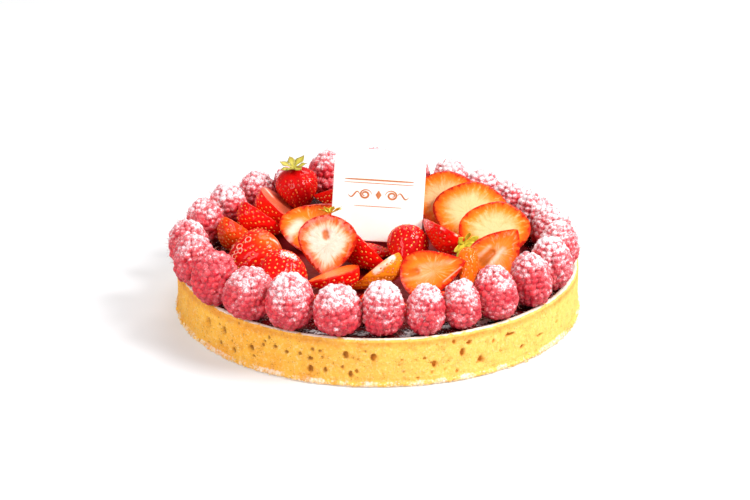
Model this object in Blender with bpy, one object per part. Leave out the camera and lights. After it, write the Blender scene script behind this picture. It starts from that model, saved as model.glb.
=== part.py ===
"""A round berry tart on its own flat base.

A shortcrust shell holds a dark jam filling. A ring of raspberries stands along the rim, cut and
whole strawberries fill the middle, and a square white chocolate plaque leans among them. Lengths
here are in millimetres, and new_solid() turns them into metres. The camera side of the tart is -Y.
"""

import math
import random
from dataclasses import dataclass, field

import bmesh
import bpy
from mathutils import Matrix, Vector, noise
from mathutils.bvhtree import BVHTree

MM = 0.001

# Shell
CRUST_RADIUS = 100.0
CRUST_HEIGHT = 23.5
WALL = 3.7
FLOOR = 4.3
FOOT_OUT = 1.0
FOOT_HEIGHT = 2.4
WALL_WOBBLE = 0.22
CRUST_STEPS = 78
BACK_PORES = 8

# Baking holes of the wall's front: azimuth in degrees, height, width and tallness
FRONT_PORES = [
    (216.3, 14.3, 3.0, 4.0),
    (223.2, 14.2, 2.2, 2.8),
    (221.8, 6.8, 2.0, 2.1),
    (227.2, 6.2, 2.2, 2.3),
    (233.7, 10.7, 2.6, 2.8),
    (241.5, 14.6, 1.9, 1.5),
    (251.8, 12.0, 2.4, 1.6),
    (251.8, 6.8, 2.3, 3.0),
    (255.9, 7.0, 1.6, 2.4),
    (261.5, 15.5, 2.3, 3.2),
    (262.7, 5.9, 1.8, 3.0),
    (268.8, 14.6, 2.6, 3.4),
    (285.1, 9.6, 2.2, 3.2),
    (290.5, 19.4, 1.8, 2.0),
    (293.0, 13.5, 2.3, 3.6),
    (294.9, 17.9, 2.3, 2.3),
    (308.1, 16.6, 5.5, 1.4),
    (312.7, 7.9, 2.4, 2.0),
]

# Jam filling, nearly level with the rim and slightly domed under the fruit
CLEARANCE = 0.35
JAM_EDGE = 21.7
JAM_DOME = 1.0
JAM_DOME_RADIUS = 79.0
JAM_LUMP = 0.35
JAM_STEPS = 44
JAM_RINGS = 6

# Fruit
DRUPELETS_BY_ROW = (8, 10, 9, 8, 5)
DRUPELET_DEPTH = 0.3
DRUPELET_RISE = -0.05
BERRY_LUMP = 0.035
SKIN_STEPS = 8
WHOLE_STEPS = 12
TOUCH_GAP = 0.18
REST_GAP = 0.4
NUDGE = 0.25
NUDGE_ROUNDS = 90

# Leaves
SEPALS = 7
SEPAL_THICKNESS = 0.6
LEAF_OFF = 0.45

# Plaque
PLAQUE_SIZE = 45.6
PLAQUE_THICKNESS = 2.2
PLAQUE_CORNER = 5.0
PLAQUE_FOOT = Vector((-1.1, 9.0, 27.6))
PLAQUE_LEAN = math.radians(20.0)
PLAQUE_ROLL = math.radians(3.6)


@dataclass
class Raspberry:
    """One berry of the ring, by its place round the tart and the way its tip leans."""

    azimuth: float
    ring: float
    width: float
    height: float
    outward: float = 0.0
    sideways: float = 0.0
    raised: float = 0.0


@dataclass
class Strawberry:
    """One whole or cut strawberry.

    at is the middle of its axis line, which lies on the cut face. axis runs from the leaf end to
    the tip, and face is where the cut looks. span is how much skin is left, in degrees. depth and
    taper shape it, and leaf is how far its leaves reach, as a share of its width.
    """

    name: str
    at: tuple
    axis: tuple
    face: tuple
    length: float
    width: float
    span: float = 180.0
    depth: float = 1.0
    taper: float = 0.62
    leaf: float = 0.0


RING = [
    Raspberry(271.0, 89.2, 20.3, 26.6),
    Raspberry(283.2, 91.0, 17.6, 25.2),
    Raspberry(294.4, 90.6, 17.8, 24.4, 0, 3),
    Raspberry(306.6, 90.8, 20.2, 27.0, -5, 10),
    Raspberry(321.0, 91.8, 19.8, 27.2, -4, 8),
    Raspberry(335.4, 90.6, 20.0, 27.5, -3, 6),
    Raspberry(352.0, 89.0, 20.0, 25.0, 2, -4),
    Raspberry(7.5, 87.0, 20.2, 24.0, 3, 5),
    Raspberry(22.0, 85.5, 19.8, 24.5, 0, -8),
    Raspberry(36.5, 85.0, 20.4, 23.5, 4, 3),
    Raspberry(50.5, 85.0, 20.0, 23.5, -2, 6),
    Raspberry(63.8, 84.5, 19.2, 23.5, 3, -5),
    Raspberry(77.0, 84.5, 19.0, 24.0, 0, 4),
    Raspberry(90.5, 84.5, 20.2, 25.0, 4, -3, 3.8),
    Raspberry(109.0, 82.0, 19.5, 25.0, 6, 3, 4.0),
    Raspberry(122.5, 84.5, 19.5, 23.5, 4, -4),
    Raspberry(136.0, 85.3, 19.3, 24.0, 4, 6),
    Raspberry(151.5, 84.0, 20.0, 24.0, 4, -6),
    Raspberry(168.0, 85.5, 19.3, 24.0, 4, 5),
    Raspberry(187.3, 93.2, 19.6, 25.0, 6, -3),
    Raspberry(201.0, 93.8, 20.6, 26.2, 6, 4),
    Raspberry(216.3, 94.4, 23.0, 26.6, 6, 5),
    Raspberry(231.8, 93.4, 24.0, 25.0, 5, -6),
    Raspberry(245.5, 92.8, 22.8, 27.2, 5, 2),
    Raspberry(257.5, 91.2, 22.4, 24.6, 3, 12),
]

FRUIT = [
    # left side: fanned halves with their skin towards the viewer
    Strawberry("left_a", (-67.5, 9.3, 30.6), (0.80, -0.52, -0.28), (0.50, 0.50, 0.70), 30, 23.5),
    Strawberry("left_b", (-62, -15, 24.6), (-0.80, -0.35, -0.30), (-0.20, 0.45, -0.85), 32, 26, 180, 0.82),
    Strawberry("left_c", (-59, 31, 32.8), (0.80, -0.52, -0.30), (0.55, 0.45, 0.70), 28, 24),
    Strawberry("left_d", (-48.5, 44, 34), (0.62, -0.55, -0.52), (0.85, -0.15, 0.50), 30, 24),
    Strawberry("whole_e", (-40.5, 51.5, 36.8), (0.16, 0.10, -0.98), (0.0, 0.5, 0.8), 25, 21.5, 360, leaf=0.45),
    Strawberry("back_f", (-27, 16, 36.6), (0.68, 0.56, 0.46), (-0.15, -0.75, 0.64), 31, 28, 180, 0.4),
    Strawberry("half_g", (-24.2, -28.2, 40.4), (-0.06, -0.36, -0.93), (-0.16, -0.92, 0.36), 30, 28.5, 180, 0.5, 0.7, 0.2),
    # front, from left to right
    Strawberry("front_h", (-47.5, -41, 26.8), (-0.35, -0.85, -0.10), (0.0, 0.1, -0.95), 30, 24.5, 180, 1.15),
    Strawberry("front_i", (-19.3, -45.5, 33.4), (-0.93, -0.25, -0.22), (-0.10, 0.22, 0.95), 27, 20, 180, 0.95),
    Strawberry("half_j", (-4, -15, 32.6), (0.72, -0.37, -0.59), (0.62, 0.35, 0.70), 31, 28, 180, 0.85),
    Strawberry("front_k", (-1.5, -39.5, 32), (-0.80, -0.40, -0.45), (-0.45, 0.50, 0.74), 29, 21, 180, 0.85),
    Strawberry("front_l", (24, -43.8, 31.5), (0.94, 0.12, 0.25), (-0.02, -0.80, 0.60), 32, 23, 180, 0.5, 0.62),
    Strawberry("front_m", (42.3, -39.5, 30.2), (-0.05, -0.62, -0.78), (-0.50, 0.70, -0.50), 24, 11, 180, 0.9),
    # right side: three wide slices laid like fallen tiles, and the pieces before them
    Strawberry("right_n", (58, -27, 35.8), (0.62, 0.26, 0.72), (-0.12, -0.85, 0.50), 29, 25, 180, 0.6),
    Strawberry("fan_front", (53.3, 2.5, 33.2), (-0.25, -0.72, -0.62), (-0.20, -0.62, 0.76), 37, 36.5, 180, 0.36, 0.82),
    Strawberry("fan_middle", (46.3, 28.4, 34.2), (-0.20, -0.72, -0.62), (-0.15, -0.62, 0.77), 38, 38.5, 180, 0.3, 0.82),
    Strawberry("fan_back", (34.0, 42.5, 36.6), (-0.10, -0.72, -0.62), (-0.12, -0.62, 0.77), 35, 36, 180, 0.2, 0.80),
    Strawberry("half_p", (35, 2, 37.6), (-0.62, 0.78, 0.03), (0.35, 0.45, 0.80), 31, 22, leaf=0.40),
    Strawberry("round_q", (15, -4.5, 28), (-0.20, -0.85, -0.45), (-0.05, 0.35, -0.94), 24, 20.5, 240),
    Strawberry("under_r", (-2, 3, 23.6), (1.0, 0.0, 0.0), (0.0, 0.0, -1.0), 22, 16, 180, 0.6),
    # low halves between the front fruit and the ring
    Strawberry("low_a", (-26, -66, 23.2), (-0.92, 0.38, 0.0), (0.0, 0.05, -1.0), 28, 19, 180, 1.0),
    Strawberry("low_b", (3, -68, 23.2), (0.98, 0.12, 0.0), (0.0, 0.05, -1.0), 29, 20, 180, 1.0),
    Strawberry("low_c", (31, -63, 23.2), (0.90, 0.43, 0.0), (0.0, 0.05, -1.0), 27, 19, 180, 0.95),
    Strawberry("low_d", (61, -47, 23.2), (-0.60, -0.80, 0.0), (0.0, 0.05, -1.0), 24, 15, 180, 1.0),
    # behind the plaque
    Strawberry("back_v", (-14, 64, 23.4), (0.95, 0.30, 0.0), (0.0, 0.0, -1.0), 30, 22, 180, 1.0),
    Strawberry("back_w", (31, 66, 23.4), (0.85, -0.50, 0.0), (0.0, 0.0, -1.0), 28, 19, 180, 1.0),
    Strawberry("back_x", (9, 58, 32), (0.3, 0.5, -0.2), (0.1, -0.3, 0.9), 33, 26, 180, 0.8),
    Strawberry("back_y", (-20, 47, 40.5), (-0.9, 0.1, -0.2), (0.0, 0.45, 0.90), 30, 24),
    Strawberry("back_z", (9, 37, 32), (0.7, 0.5, -0.2), (0.0, 0.5, 0.8), 24, 18, 360),
]


@dataclass
class Body:
    """A piece of fruit being placed: its mesh in its own place, and how far it has been nudged."""

    name: str
    points: list
    faces: list
    colour: tuple
    fixed: bool = False
    shift: Vector = field(default_factory=Vector)

    def centre(self):
        """Middle of the piece where it now lies."""
        return sum(self.points, Vector()) / len(self.points) + self.shift

    def radius(self):
        """Furthest point from the middle."""
        middle = self.centre() - self.shift
        return max((p - middle).length for p in self.points)


def clear_scene():
    """Removes whatever the scene holds at the start."""
    for obj in list(bpy.data.objects):
        bpy.data.objects.remove(obj, do_unlink=True)


def material(name, colour, roughness):
    """A plain material of that colour, made once."""
    found = bpy.data.materials.get(name)
    if found:
        return found
    made = bpy.data.materials.new(name)
    made.use_nodes = True
    shader = made.node_tree.nodes["Principled BSDF"]
    shader.inputs["Base Color"].default_value = (*colour, 1.0)
    shader.inputs["Roughness"].default_value = roughness
    made.diffuse_color = (*colour, 1.0)
    return made


PASTRY = ("pastry", (0.80, 0.52, 0.20), 0.85)
JAM = ("jam", (0.10, 0.012, 0.018), 0.35)
RASPBERRY = ("raspberry", (0.62, 0.07, 0.11), 0.6)
STRAWBERRY = ("strawberry", (0.66, 0.02, 0.015), 0.25)
LEAF = ("leaf", (0.33, 0.36, 0.06), 0.6)
CHOCOLATE = ("white_chocolate", (0.90, 0.87, 0.76), 0.35)


def new_solid(name, points, faces, look):
    """Makes one object from points in millimetres, with outward faces and smooth shading."""
    mesh = bpy.data.meshes.new(name)
    mesh.from_pydata([Vector(p) * MM for p in points], [], faces)
    work = bmesh.new()
    work.from_mesh(mesh)
    bmesh.ops.recalc_face_normals(work, faces=work.faces)
    work.to_mesh(mesh)
    work.free()
    mesh.materials.append(material(*look))
    mesh.shade_smooth()
    mesh.set_sharp_from_angle(angle=math.radians(35))
    obj = bpy.data.objects.new(name, mesh)
    bpy.context.scene.collection.objects.link(obj)
    return obj


def turned(profile, steps, wobble):
    """Turns a profile of (radius, height) round Z. Its first and last points lie on the axis.

    wobble(angle, radius, height) returns how far a point moves outwards and upwards.
    """
    points = [Vector((0, 0, profile[0][1]))]
    for radius, height in profile[1:-1]:
        for step in range(steps):
            angle = 2 * math.pi * step / steps
            out, up = wobble(angle, radius, height)
            reach = radius + out
            points.append(Vector((reach * math.cos(angle), reach * math.sin(angle), height + up)))
    points.append(Vector((0, 0, profile[-1][1])))
    faces = []
    for step in range(steps):
        nxt = (step + 1) % steps
        faces.append((0, 1 + nxt, 1 + step))
        for ring in range(len(profile) - 3):
            low, high = 1 + ring * steps, 1 + (ring + 1) * steps
            faces.append((low + step, low + nxt, high + nxt, high + step))
        last = 1 + (len(profile) - 3) * steps
        faces.append((last + step, last + nxt, len(points) - 1))
    return points, faces


def round_noise(angle, scale, seed):
    """Smooth noise that closes round a circle, from -1 to 1."""
    return noise.noise(Vector((scale * math.cos(angle), scale * math.sin(angle), seed)))


def crust_profile():
    """Outline of the shell from the middle of its underside, over the rim, to its inner floor."""
    wall = CRUST_RADIUS - FOOT_OUT
    inner = wall - WALL
    top = CRUST_HEIGHT
    return [
        (0, 0),
        (wall - 0.6, 0),
        (CRUST_RADIUS - 0.1, 0.5),
        (CRUST_RADIUS, 1.5),
        (wall + 0.15, FOOT_HEIGHT),
        (wall, top * 0.38),
        (wall + 0.1, top * 0.68),
        (wall - 0.15, top - 1.4),
        (wall - 0.9, top - 0.3),
        (wall - 1.9, top),
        (inner + 0.5, top - 0.5),
        (inner, top - 1.6),
        (inner - 0.3, FLOOR + 1.0),
        (inner - 1.5, FLOOR),
        (0, FLOOR),
    ]


def crust_wobble(angle, radius, height):
    """Unevenness of the baked shell: a soft wall, a ragged foot and a slightly wavy rim."""
    if height <= 0 or radius < CRUST_RADIUS - FOOT_OUT - WALL + 0.3:
        return 0.0, 0.0
    soft = WALL_WOBBLE * round_noise(angle, 2.6, height * 0.11)
    if height < FOOT_HEIGHT:
        ragged = 0.45 * min(0.0, round_noise(angle, 17.0, 3.0))
        return soft + ragged, 0.25 * round_noise(angle, 14.0, 7.0)
    rim = 0.3 * round_noise(angle, 5.0, 9.0) if height > CRUST_HEIGHT - 1.0 else 0.0
    return soft, rim


def pore(azimuth, height, wide, tall):
    """A small six-sided spindle that cuts one baking hole into the wall."""
    outward = Vector((math.cos(azimuth), math.sin(azimuth), 0))
    across = Vector((-outward.y, outward.x, 0))
    at = outward * (CRUST_RADIUS - FOOT_OUT + 0.1) + Vector((0, 0, height))
    points = []
    for step in range(6):
        angle = math.pi * step / 3
        side = 0.5 * wide * math.cos(angle) * across
        points.append(at + side + Vector((0, 0, 0.5 * tall * math.sin(angle))))
    deep = 0.8 * math.sqrt(wide * tall)
    points += [at + outward * 2.0, at - outward * deep]
    faces = []
    for step in range(6):
        nxt = (step + 1) % 6
        faces.append((step, nxt, 6))
        faces.append((nxt, step, 7))
    return points, faces


def pore_places():
    """Every hole cut into the wall: those of the front, then drawn ones round the back."""
    draw = random.Random(11)
    places = list(FRONT_PORES)
    for number in range(BACK_PORES):
        azimuth = 335.0 + 220.0 * (number + draw.uniform(0.2, 0.8)) / BACK_PORES
        height = draw.uniform(6.0, CRUST_HEIGHT - 5.0)
        places.append((azimuth, height, draw.uniform(1.6, 2.8), draw.uniform(1.8, 3.2)))
    return places


def make_crust():
    """The shell, with the larger baking holes cut into its wall."""
    crust = new_solid("crust", *turned(crust_profile(), CRUST_STEPS, crust_wobble), PASTRY)
    points, faces = [], []
    for azimuth, height, wide, tall in pore_places():
        more, sides = pore(math.radians(azimuth), height, wide, tall)
        faces += [tuple(corner + len(points) for corner in side) for side in sides]
        points += more
    cutters = new_solid("pore_cutters", points, faces, PASTRY)
    cutters.hide_render = True
    cutters.display_type = "WIRE"
    cut = crust.modifiers.new("pores", "BOOLEAN")
    cut.operation = "DIFFERENCE"
    cut.object = cutters
    return crust


def jam_height(x, y):
    """Height of the jam at a point."""
    out = math.hypot(x, y)
    dome = JAM_DOME * max(0.0, 1 - (out / JAM_DOME_RADIUS) ** 2)
    lumps = JAM_LUMP * noise.noise(Vector((x / 7, y / 7, 2.0)))
    return JAM_EDGE + dome + lumps


def make_jam():
    """The filling: a thick disc that runs through the shell, with a lumpy top."""
    outer = CRUST_RADIUS - FOOT_OUT - WALL - 0.3 - CLEARANCE
    base = FLOOR + CLEARANCE
    rings = [outer * (1 - (i / JAM_RINGS) ** 1.5) for i in range(JAM_RINGS)]
    profile = [(0, base), (outer - 1.4, base), (outer, base + 1.5)]
    profile += [(radius, JAM_EDGE) for radius in rings]
    profile.append((0, jam_height(0, 0)))

    def lumps(angle, radius, height):
        if height < JAM_EDGE:
            return 0.0, 0.0
        return 0.0, jam_height(radius * math.cos(angle), radius * math.sin(angle)) - JAM_EDGE

    return new_solid("jam_filling", *turned(profile, JAM_STEPS, lumps), JAM)


def raspberry_radius(t):
    """Radius of a raspberry as a share of its half width, at t from base to tip."""
    widest = 0.38
    if t < widest:
        return math.sqrt(1 - 0.9 * ((widest - t) / widest) ** 1.8)
    return max(0.0, 1 - ((t - widest) / (1 - widest)) ** 2.3) ** 0.5


def drupelet_centres(width, height, seed):
    """Middles of the drupelets in staggered rows, then the tip and the middle of the base."""
    draw = random.Random(seed)
    centres = []
    for row, count in enumerate(DRUPELETS_BY_ROW):
        t = 0.075 + 0.81 * row / (len(DRUPELETS_BY_ROW) - 1)
        radius = 0.512 * width * raspberry_radius(t)
        for place in range(count):
            angle = 2 * math.pi * (place + 0.5 * (row % 2) + draw.uniform(-0.12, 0.12)) / count
            up = height * (t + draw.uniform(-0.015, 0.015))
            centres.append(Vector((radius * math.cos(angle), radius * math.sin(angle), up)))
    centres.append(Vector((0, 0, height)))
    centres.append(Vector((0, 0, 0)))
    return centres


def hull_faces(points):
    """Triangles of the convex hull of these points, as indices into them."""
    work = bmesh.new()
    for point in points:
        work.verts.new(point)
    work.verts.ensure_lookup_table()
    work.verts.index_update()
    bmesh.ops.convex_hull(work, input=work.verts)
    bmesh.ops.triangulate(work, faces=work.faces)
    faces = [tuple(v.index for v in face.verts) for face in work.faces]
    work.free()
    return faces


def raspberry_mesh(width, height, seed):
    """A raspberry standing on Z: each drupelet is a low cone ringed by the valleys round it.

    The drupelet middles are joined into triangles, whose centres are then the valleys. Each edge
    between two middles gives the two faces that meet along the valley line across it.
    """
    centres = drupelet_centres(width, height, seed)
    triangles = hull_faces(centres)
    middle = Vector((0, 0, 0.42 * height))
    points = list(centres)
    valley = []
    for corners in triangles:
        at = sum((centres[c] for c in corners), Vector()) / 3
        flat = all(centres[c].z < 0.1 * height for c in corners)
        inwards = (middle - at).normalized() * (0.0 if flat else DRUPELET_DEPTH)
        valley.append(len(points))
        points.append(at + inwards)
    for index, centre in enumerate(centres):
        if centre.z > 0.01 * height:
            points[index] = centre + (centre - middle).normalized() * DRUPELET_RISE
    beside = {}
    for number, corners in enumerate(triangles):
        for k in range(3):
            beside.setdefault(frozenset((corners[k], corners[(k + 1) % 3])), []).append(number)
    faces = []
    for edge, (first, second) in beside.items():
        for corner in edge:
            faces.append(outward_triangle(points, (corner, valley[first], valley[second]), middle))
    return points, faces


def outward_triangle(points, corners, middle):
    """The same triangle, turned so that it faces away from the middle."""
    a, b, c = (points[i] for i in corners)
    facing = (b - a).cross(c - a).dot((a + b + c) / 3 - middle)
    return corners if facing > 0 else (corners[0], corners[2], corners[1])


def raspberry_body(number, berry):
    """One raspberry of the ring, standing on the jam with its tip leaning as given."""
    points, faces = raspberry_mesh(berry.width, berry.height, 100 + number)
    azimuth = math.radians(berry.azimuth)
    out = Vector((math.cos(azimuth), math.sin(azimuth), 0))
    side = Vector((-out.y, out.x, 0))
    lean = Matrix.Rotation(math.radians(berry.outward), 3, side)
    tilt = Matrix.Rotation(math.radians(berry.sideways), 3, out)
    spin = Matrix.Rotation(number * 1.7, 3, "Z")
    turn = tilt @ lean @ spin
    place = out * berry.ring
    half = Vector((0, 0, 0.5 * berry.height))
    moved = [turn @ (p - half) + half + place for p in points]
    body = Body(f"raspberry_{number + 1:02d}", moved, faces, RASPBERRY)
    body.shift.z = resting_height(body) + berry.raised
    return body


def strawberry_radius(t, taper):
    """Radius of a strawberry as a share of its half width, at t from the leaf end to the tip."""
    return math.sin(math.pi * min(1.0, max(0.0, t)) ** taper) ** 0.8


def strawberry_point(piece, t, angle, seed):
    """A point of the skin in the piece's own axes: X to the tip, Z away from the cut face."""
    radius = 0.5 * piece.width * strawberry_radius(t, piece.taper)
    across, up = math.cos(angle), math.sin(angle)
    radius *= 1 + BERRY_LUMP * noise.noise(Vector((3 * t, 1.3 * across + seed, 1.3 * up)))
    return Vector(((t - 0.5) * piece.length, radius * across, radius * up * piece.depth))


def strawberry_mesh(piece, seed):
    """Skin rows from the leaf end to the tip, closed by the cut face or faces."""
    whole = piece.span >= 360
    steps = WHOLE_STEPS if whole else SKIN_STEPS
    start = math.radians(90 - 0.5 * piece.span)
    rows = [0.02, 0.08, 0.2, 0.36, 0.54, 0.72, 0.87, 0.965]
    points = []
    for t in rows:
        for step in range(steps if whole else steps + 1):
            angle = start + math.radians(piece.span) * step / steps
            points.append(strawberry_point(piece, t, angle, seed))
    count = steps if whole else steps + 1
    leaf_end, tip = len(points), len(points) + 1
    points.append(Vector((-0.5 * piece.length, 0, 0)))
    points.append(Vector((0.5 * piece.length, 0, 0)))
    faces = []
    for row in range(len(rows) - 1):
        low, high = row * count, (row + 1) * count
        for step in range(steps):
            nxt = (step + 1) % count
            faces.append((low + step, low + nxt, high + nxt, high + step))
        if not whole:
            faces.append((low, high, high + steps, low + steps))
    last = (len(rows) - 1) * count
    for step in range(steps):
        nxt = (step + 1) % count
        faces.append((leaf_end, nxt, step))
        faces.append((tip, last + step, last + nxt))
    if not whole:
        faces.append((leaf_end, 0, steps))
        faces.append((tip, last + steps, last))
    return points, faces


def frame_of(piece):
    """Turns the piece's own axes into the tart's: X along its axis, -Z out of the cut face."""
    along = Vector(piece.axis).normalized()
    away = -Vector(piece.face)
    away = (away - away.dot(along) * along).normalized()
    side = away.cross(along)
    return Matrix((along, side, away)).transposed()


def strawberry_body(number, piece):
    """One strawberry or piece of one, turned and placed."""
    points, faces = strawberry_mesh(piece, float(number))
    turn = frame_of(piece)
    moved = [turn @ p + Vector(piece.at) for p in points]
    return Body(f"strawberry_{piece.name}", moved, faces, STRAWBERRY)


def rim_or_jam(x, y):
    """Height of what lies under a point: the jam, or the shell's rim over its wall."""
    out = math.hypot(x, y)
    inner = CRUST_RADIUS - FOOT_OUT - WALL - CLEARANCE
    if out > CRUST_RADIUS:
        return 0.0
    return CRUST_HEIGHT + 0.2 if out > inner else jam_height(x, y)


def resting_height(body):
    """How far a body must rise, or may sink, for its lowest point to rest on what is under it."""
    lift = -1e9
    for point in body.points:
        at = point + body.shift
        lift = max(lift, rim_or_jam(at.x, at.y) + REST_GAP - at.z)
    return lift


def swollen_tree(body):
    """Search tree of a body grown by the gap that touching pieces keep."""
    work = bmesh.new()
    corners = [work.verts.new(p + body.shift) for p in body.points]
    for face in body.faces:
        work.faces.new([corners[i] for i in face])
    bmesh.ops.recalc_face_normals(work, faces=work.faces)
    work.normal_update()
    for corner in corners:
        corner.co += corner.normal * TOUCH_GAP
    tree = BVHTree.FromBMesh(work)
    work.free()
    return tree


def nudge_apart(bodies):
    """Moves fruit that runs into its neighbours apart in small steps, until nothing touches."""
    reach = [body.radius() for body in bodies]
    for _ in range(NUDGE_ROUNDS):
        centres = [body.centre() for body in bodies]
        trees = [swollen_tree(body) for body in bodies]
        moves = [Vector() for _ in bodies]
        for i, first in enumerate(bodies):
            for j in range(i + 1, len(bodies)):
                apart = centres[j] - centres[i]
                if apart.length > reach[i] + reach[j]:
                    continue
                if not trees[i].overlap(trees[j]):
                    continue
                step = apart.normalized() * NUDGE
                moves[i] -= step
                moves[j] += step
                if first.fixed:
                    moves[j] += step
                if bodies[j].fixed:
                    moves[i] -= step
        if not any(move.length > 0 for move in moves):
            break
        for body, move in zip(bodies, moves):
            if body.fixed:
                continue
            if move.length > 2 * NUDGE:
                move = move.normalized() * 2 * NUDGE
            body.shift += move
            body.shift.z += max(0.0, resting_height(body))


def calyx_mesh(reach, seed):
    """A star of pointed, wavy sepals round Z, thin, with both faces split alike."""
    draw = random.Random(seed)
    outline = []
    for number in range(SEPALS):
        middle = 2 * math.pi * (number + draw.uniform(-0.15, 0.15)) / SEPALS
        long = reach * draw.uniform(0.78, 1.0)
        half = math.pi / SEPALS
        curl = draw.uniform(0.5, 2.6)
        outline += [
            (middle - 0.85 * half, 0.30 * long, 0.2),
            (middle - 0.62 * half, 0.58 * long, 0.6 + 0.2 * curl),
            (middle, long, 0.8 + curl),
            (middle + 0.62 * half, 0.58 * long, 0.6 + 0.2 * curl),
        ]
    count = len(outline)
    top = [Vector((r * math.cos(a), r * math.sin(a), z)) for a, r, z in outline]
    thick = Vector((0, 0, SEPAL_THICKNESS))
    points = top + [p - thick for p in top] + [Vector(), -thick]
    faces = []
    for k in range(count):
        nxt = (k + 1) % count
        faces.append((2 * count, k, nxt))
        faces.append((2 * count + 1, count + nxt, count + k))
        faces.append((k, count + k, count + nxt))
        faces.append((k, count + nxt, nxt))
    return points, faces


def make_calyx(piece, shift, reach, seed):
    """The leaves on a strawberry's leaf end, standing just clear of it."""
    points, faces = calyx_mesh(reach, seed)
    turn = frame_of(piece)
    back = Matrix(((0, 0, -1), (0, 1, 0), (1, 0, 0)))
    lift = Vector((-0.5 * piece.length - SEPAL_THICKNESS - LEAF_OFF, 0, 0))
    if piece.span < 360:
        lift.z = 0.12 * piece.width
    at = Vector(piece.at) + shift
    moved = [turn @ (back @ p + lift) + at for p in points]
    return new_solid(f"leaf_{piece.name}", moved, faces, LEAF)


def plaque_mesh():
    """A square tablet with rounded corners and soft edges, standing on its lower edge."""
    half = 0.5 * PLAQUE_SIZE
    middle = half - PLAQUE_CORNER
    corners = [(middle, middle, 0), (-middle, middle, 90), (-middle, -middle, 180), (middle, -middle, 270)]
    edge = 0.45
    layers = [
        (-0.5 * PLAQUE_THICKNESS, edge),
        (-0.5 * PLAQUE_THICKNESS + edge, 0.0),
        (0.5 * PLAQUE_THICKNESS - edge, 0.0),
        (0.5 * PLAQUE_THICKNESS, edge),
    ]
    points = []
    for depth, inset in layers:
        for x, z, start in corners:
            for step in range(5):
                angle = math.radians(start + 22.5 * step)
                reach = PLAQUE_CORNER - inset
                points.append(Vector((x + reach * math.cos(angle), depth, z + reach * math.sin(angle) + half)))
    count = 20
    faces = [tuple(reversed(range(count))), tuple(range(3 * count, 4 * count))]
    for layer in range(3):
        low, high = layer * count, (layer + 1) * count
        faces += [(low + k, low + (k + 1) % count, high + (k + 1) % count, high + k) for k in range(count)]
    return points, faces


def plaque_body():
    """The plaque, leaning back among the fruit."""
    points, faces = plaque_mesh()
    turn = Matrix.Rotation(-PLAQUE_LEAN, 3, "X") @ Matrix.Rotation(PLAQUE_ROLL, 3, "Y")
    moved = [turn @ p + PLAQUE_FOOT for p in points]
    return Body("plaque", moved, faces, CHOCOLATE, fixed=True)


def main():
    """Builds the tart."""
    clear_scene()
    make_crust()
    make_jam()
    bodies = [raspberry_body(number, berry) for number, berry in enumerate(RING)]
    bodies += [strawberry_body(number, piece) for number, piece in enumerate(FRUIT)]
    bodies.append(plaque_body())
    for body in bodies:
        if not body.fixed:
            body.shift.z += max(0.0, resting_height(body))
    nudge_apart(bodies)
    for body in bodies:
        new_solid(body.name, [p + body.shift for p in body.points], body.faces, body.colour)
    shifts = {body.name: body.shift for body in bodies}
    for number, piece in enumerate(FRUIT):
        if piece.leaf:
            reach = piece.leaf * piece.width
            make_calyx(piece, shifts[f"strawberry_{piece.name}"], reach, 40 + number)


if __name__ == "__main__":
    main()
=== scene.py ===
"""Looks of a round berry tart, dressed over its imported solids.

Every length is in millimetres until a mesh is made, and the viewer's side of the tart is -Y. The
tables of fruit repeat the sizes and turns of the solids, and each dressed piece is moved to the box
of the solid that it stands for.
"""

import sys
import logging
import math
import random
from dataclasses import dataclass, field
from enum import Enum

import bmesh
import bpy
import numpy as np
from mathutils import Matrix, Vector, noise
from mathutils.bvhtree import BVHTree


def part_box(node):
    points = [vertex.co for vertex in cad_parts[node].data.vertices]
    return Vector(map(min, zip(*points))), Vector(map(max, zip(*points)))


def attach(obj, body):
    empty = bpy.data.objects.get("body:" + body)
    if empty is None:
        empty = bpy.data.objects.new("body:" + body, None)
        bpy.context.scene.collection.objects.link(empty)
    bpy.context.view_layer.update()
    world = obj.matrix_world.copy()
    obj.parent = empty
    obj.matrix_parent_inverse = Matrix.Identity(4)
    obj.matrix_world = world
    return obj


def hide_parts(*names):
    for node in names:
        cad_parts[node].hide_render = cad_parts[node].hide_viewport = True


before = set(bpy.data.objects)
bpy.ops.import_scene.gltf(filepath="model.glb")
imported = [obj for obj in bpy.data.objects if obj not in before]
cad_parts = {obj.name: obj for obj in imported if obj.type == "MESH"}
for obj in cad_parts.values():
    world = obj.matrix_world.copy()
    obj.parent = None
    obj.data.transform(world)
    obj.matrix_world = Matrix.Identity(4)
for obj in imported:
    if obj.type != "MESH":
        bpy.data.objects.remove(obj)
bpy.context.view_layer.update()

MM = 0.001
Colour = tuple[float, float, float]
Point = tuple[float, float, float]
log = logging.getLogger("tart")


class Graph:
    """A node tree that is filled one node at a time."""

    def __init__(self, tree: bpy.types.NodeTree) -> None:
        """Starts from an emptied tree.

        Args:
            tree: the node tree to fill.
        """
        self.tree = tree
        tree.nodes.clear()

    def node(self, kind: str, settings: dict | None = None, inputs: dict | None = None) -> bpy.types.Node:
        """Adds a node.

        Args:
            kind: Blender's name of the node type.
            settings: properties of the node, set before its sockets.
            inputs: values or links of its sockets, by name or place.

        Returns:
            The node.
        """
        made = self.tree.nodes.new(kind)
        for name, setting in (settings or {}).items():
            setattr(made, name, setting)
        for key, given in (inputs or {}).items():
            socket = made.inputs[key]
            if isinstance(given, Value):
                given = given.socket
            if isinstance(given, bpy.types.NodeSocket):
                self.tree.links.new(given, socket)
            elif socket.type == "RGBA" and len(given) == 3:
                socket.default_value = (*given, 1.0)
            else:
                socket.default_value = given
        return made


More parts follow.
